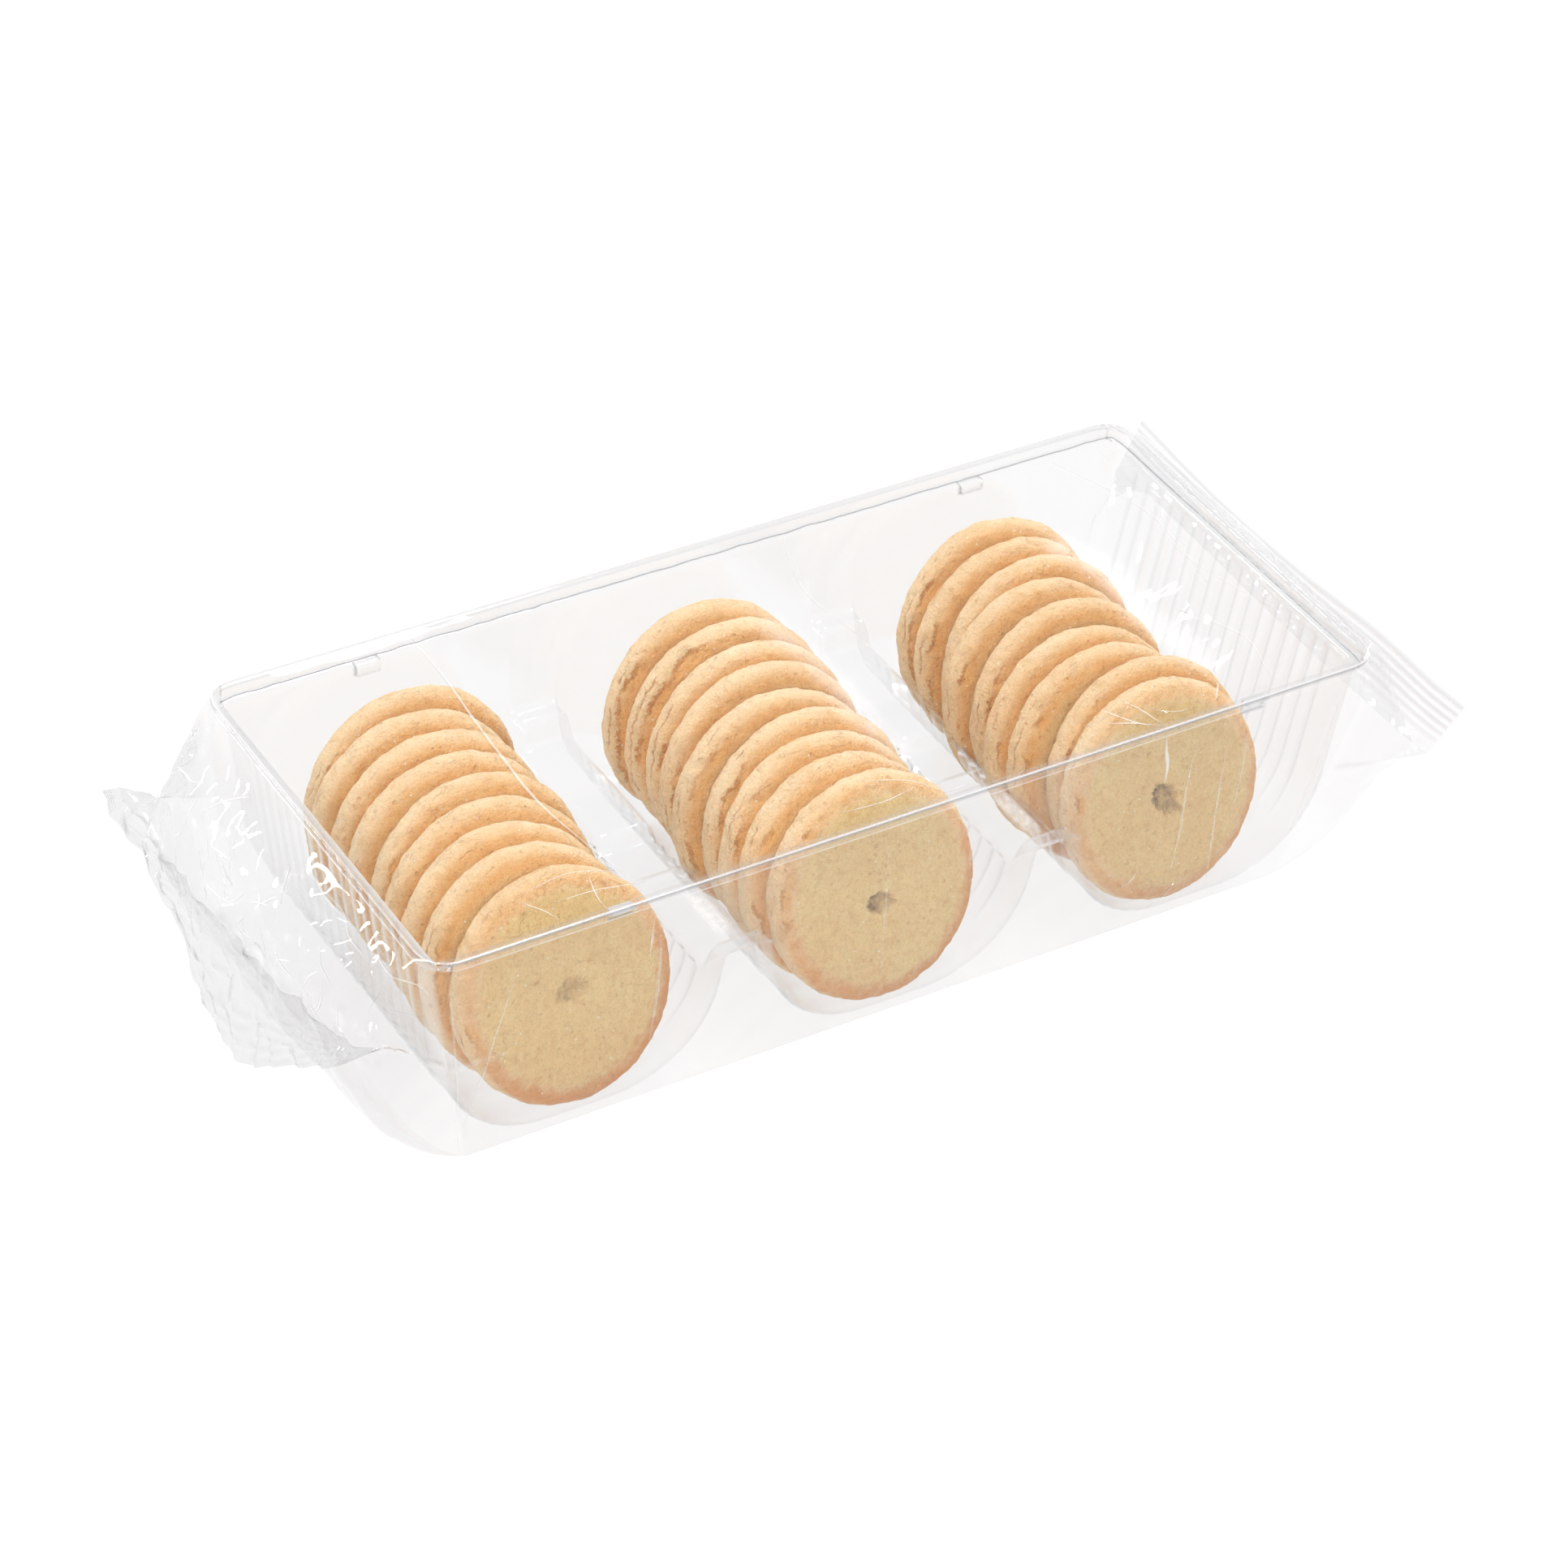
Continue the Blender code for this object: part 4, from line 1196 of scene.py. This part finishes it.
# Upright folds on the near side as paths of (x, z), with width, painted white highlight and painted grey shade line
SIDE_FOLDS = (
    (((82.4, 63.0), (81.7, 48.6), (82.2, 27.6), (81.0, 15.6), (77.4, 10.8)), 0.50, 0.24, 0.08),
    (((92.8, 57.8), (93.0, 36.0), (94.0, 18.3), (94.7, 9.0)), 0.50, 0.24, 0.08),
    (((71.9, 67.0), (72.8, 61.0), (74.0, 56.0), (74.3, 50.2)), 0.80, 0.70, 0.22),
    (((66.7, 16.5), (69.2, 18.0), (71.0, 22.0)), 0.36, 0.26, 0.08),
    (((85.0, 12.0), (80.0, 7.0), (73.0, 6.0)), 0.40, 0.22, 0.10),
    (((98.5, 60.0), (99.5, 42.0), (98.4, 26.0)), 0.44, 0.16, 0.06),
    (((-75.6, 58.0), (-75.0, 40.0), (-75.7, 19.6)), 0.60, 0.14, 0.05),
    (((-78.1, 50.0), (-77.9, 62.0)), 0.34, 0.34, 0.10),
    (((-11.0, 64.0), (-9.5, 44.2), (-7.4, 15.4)), 0.50, 0.10, 0.04),
    (((14.0, 58.0), (15.8, 40.0)), 0.40, 0.12, 0.05),
    (((-116.0, 60.0), (-121.0, 38.0), (-127.0, 12.0)), 0.50, 0.22, 0.20),
    (((-134.0, 62.0), (-131.0, 36.0), (-128.0, 4.0)), 0.50, 0.22, 0.20),
    (((128.0, 58.0), (125.0, 36.0), (121.0, 16.0)), 0.40, 0.20, 0.16),
)

# Painted sheen, a painted reflection on the lid: path, width, strength
PAINTED_SHEEN = (
    (((3.4, 30.0), (5.9, 7.3), (6.2, -9.0), (4.5, -27.2), (4.9, -47.0)), 4.2, 0.22),
    (((90.0, 26.0), (96.7, 2.0), (94.0, -20.0), (96.6, -38.0), (98.2, -50.0)), 5.0, 0.30),
)

# --------------------------------------------------------- camera and light


def set_camera():
    right = Vector((0.854057, -0.516243, 0.063874))
    up = Vector((0.275875, 0.553617, 0.785749))
    back = Vector((-0.440999, -0.653453, 0.615239))
    where = (Vector((-581.153, -857.76, 841.481)) - Vector(MIDDLE)) * MM
    data = bpy.data.cameras.new("camera")
    data.sensor_fit = "HORIZONTAL"
    data.sensor_width = 36.0
    data.lens = 6226.98 / 1932 * 36.0
    data.clip_start = 0.05
    data.clip_end = 50.0
    camera = bpy.data.objects.new("camera", data)
    bpy.context.scene.collection.objects.link(camera)
    turn = Matrix((right, up, back)).transposed().to_4x4()
    camera.matrix_world = Matrix.Translation(where) @ turn
    bpy.context.scene.camera = camera


def add_area(name, place, target, size, power, colour=(1, 1, 1)):
    data = bpy.data.lights.new(name, "AREA")
    data.shape = "RECTANGLE"
    data.size, data.size_y = size
    data.energy = power
    data.color = colour
    light = bpy.data.objects.new(name, data)
    bpy.context.scene.collection.objects.link(light)
    light.location = place
    light.rotation_euler = (Vector(target) - Vector(place)).to_track_quat("-Z", "Y").to_euler()
    return light


def set_stage():
    scene = bpy.context.scene
    world = bpy.data.worlds.new("studio")
    world.use_nodes = True
    nodes, links = world.node_tree.nodes, world.node_tree.links
    nodes.clear()
    out = nodes.new("ShaderNodeOutputWorld")
    back = nodes.new("ShaderNodeBackground")
    coord = nodes.new("ShaderNodeTexCoord")
    split = nodes.new("ShaderNodeSeparateXYZ")
    ramp = nodes.new("ShaderNodeValToRGB")
    links.new(coord.outputs["Generated"], split.inputs[0])
    links.new(split.outputs[2], ramp.inputs[0])
    ramp.color_ramp.elements[0].position = 0.0
    ramp.color_ramp.elements[0].color = (1.0, 1.0, 1.0, 1)
    ramp.color_ramp.elements[1].position = 0.55
    ramp.color_ramp.elements[1].color = (0.80, 0.80, 0.81, 1)
    links.new(ramp.outputs[0], back.inputs[0])
    back.inputs[1].default_value = WORLD
    links.new(back.outputs[0], out.inputs[0])
    scene.world = world

    g = Graph("pale_floor")
    place = g.mapping((1, 1, 1))
    tone = g.ramp(g.noise(place, 3.0, 3.0), [(0.3, (0.066, 0.066, 0.067)), (0.7, (0.074, 0.074, 0.074))])
    shader = g.add("BsdfPrincipled")
    g.put(shader.inputs["Base Color"], tone)
    shader.inputs["Roughness"].default_value = 0.9
    shader.inputs["Specular IOR Level"].default_value = 0.1
    shader.inputs["Emission Color"].default_value = (1, 1, 1, 1)
    shader.inputs["Emission Strength"].default_value = FLOOR_GLOW
    g.put(g.out.inputs[0], shader.outputs[0])
    mesh = bpy.data.meshes.new("floor")
    s = 4.0
    mesh.from_pydata([(-s, -s, -0.0004), (s, -s, -0.0004), (s, s, -0.0004), (-s, s, -0.0004)], [], [(0, 1, 2, 3)])
    mesh.materials.append(g.material)
    floor = bpy.data.objects.new("floor", mesh)
    scene.collection.objects.link(floor)

    add_area("key", (0.30, 0.55, 1.35), (0, 0, 0.03), (0.46, 0.36), KEY)
    add_area("spark", (-1.10, 1.02, 0.46), (-0.12, 0, 0.03), (0.09, 0.50), SPARK)
    add_area("fill", (-0.95, -0.80, 0.95), (0, 0, 0.03), (0.38, 0.34), FILL)
    add_area("side", (1.35, 0.15, 0.55), (0, 0, 0.03), (0.6, 0.5), SIDE)
    scene.view_settings.view_transform = "Standard"
    scene.view_settings.look = "None"
    scene.cycles.transparent_max_bounces = 36
    scene.cycles.max_bounces = 6
    scene.cycles.glossy_bounces = 3
    scene.cycles.diffuse_bounces = 3


WORLD, KEY, SPARK, FILL, SIDE, FLOOR_GLOW = 0.90, 14.6, 3.9, 12.6, 10.5, 0.93


def main():
    set_camera()
    set_stage()
    dough = dough_material()
    tray_sheet = clear_material("clear_tray_sheet", 0.030, 5.0, (0.93, 0.93, 0.935), 0.996, 0.04, 160.0, 0.04, (0.95, 0.95, 0.95), (0.62, 0.63, 0.65))
    film_sheet = clear_material("clear_film_sheet", 0.034, 4.5, (0.85, 0.85, 0.857), 0.980, 0.03, 240.0, 0.018, (0.908, 0.908, 0.912), (0.66, 0.66, 0.67))

    pieces = []
    for row, (xs, ys, leans) in ROWS.items():
        for k, (x, y, lean) in enumerate(zip(xs, ys, leans)):
            name = f"cookie_{row}{k + 1}"
            cookie = make_cookie(name, x, y, lean, 100 * "LCR".index(row) + k + 1, k == 0, k == 8, dough)
            pieces.append((cookie, "baked_dough"))
    pieces.append((make_tray(tray_sheet), "clear_tray"))
    pieces.append((make_film(film_sheet), "clear_film"))
    for piece, slot in pieces:
        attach(piece, "root")
        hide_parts("pack")


main()
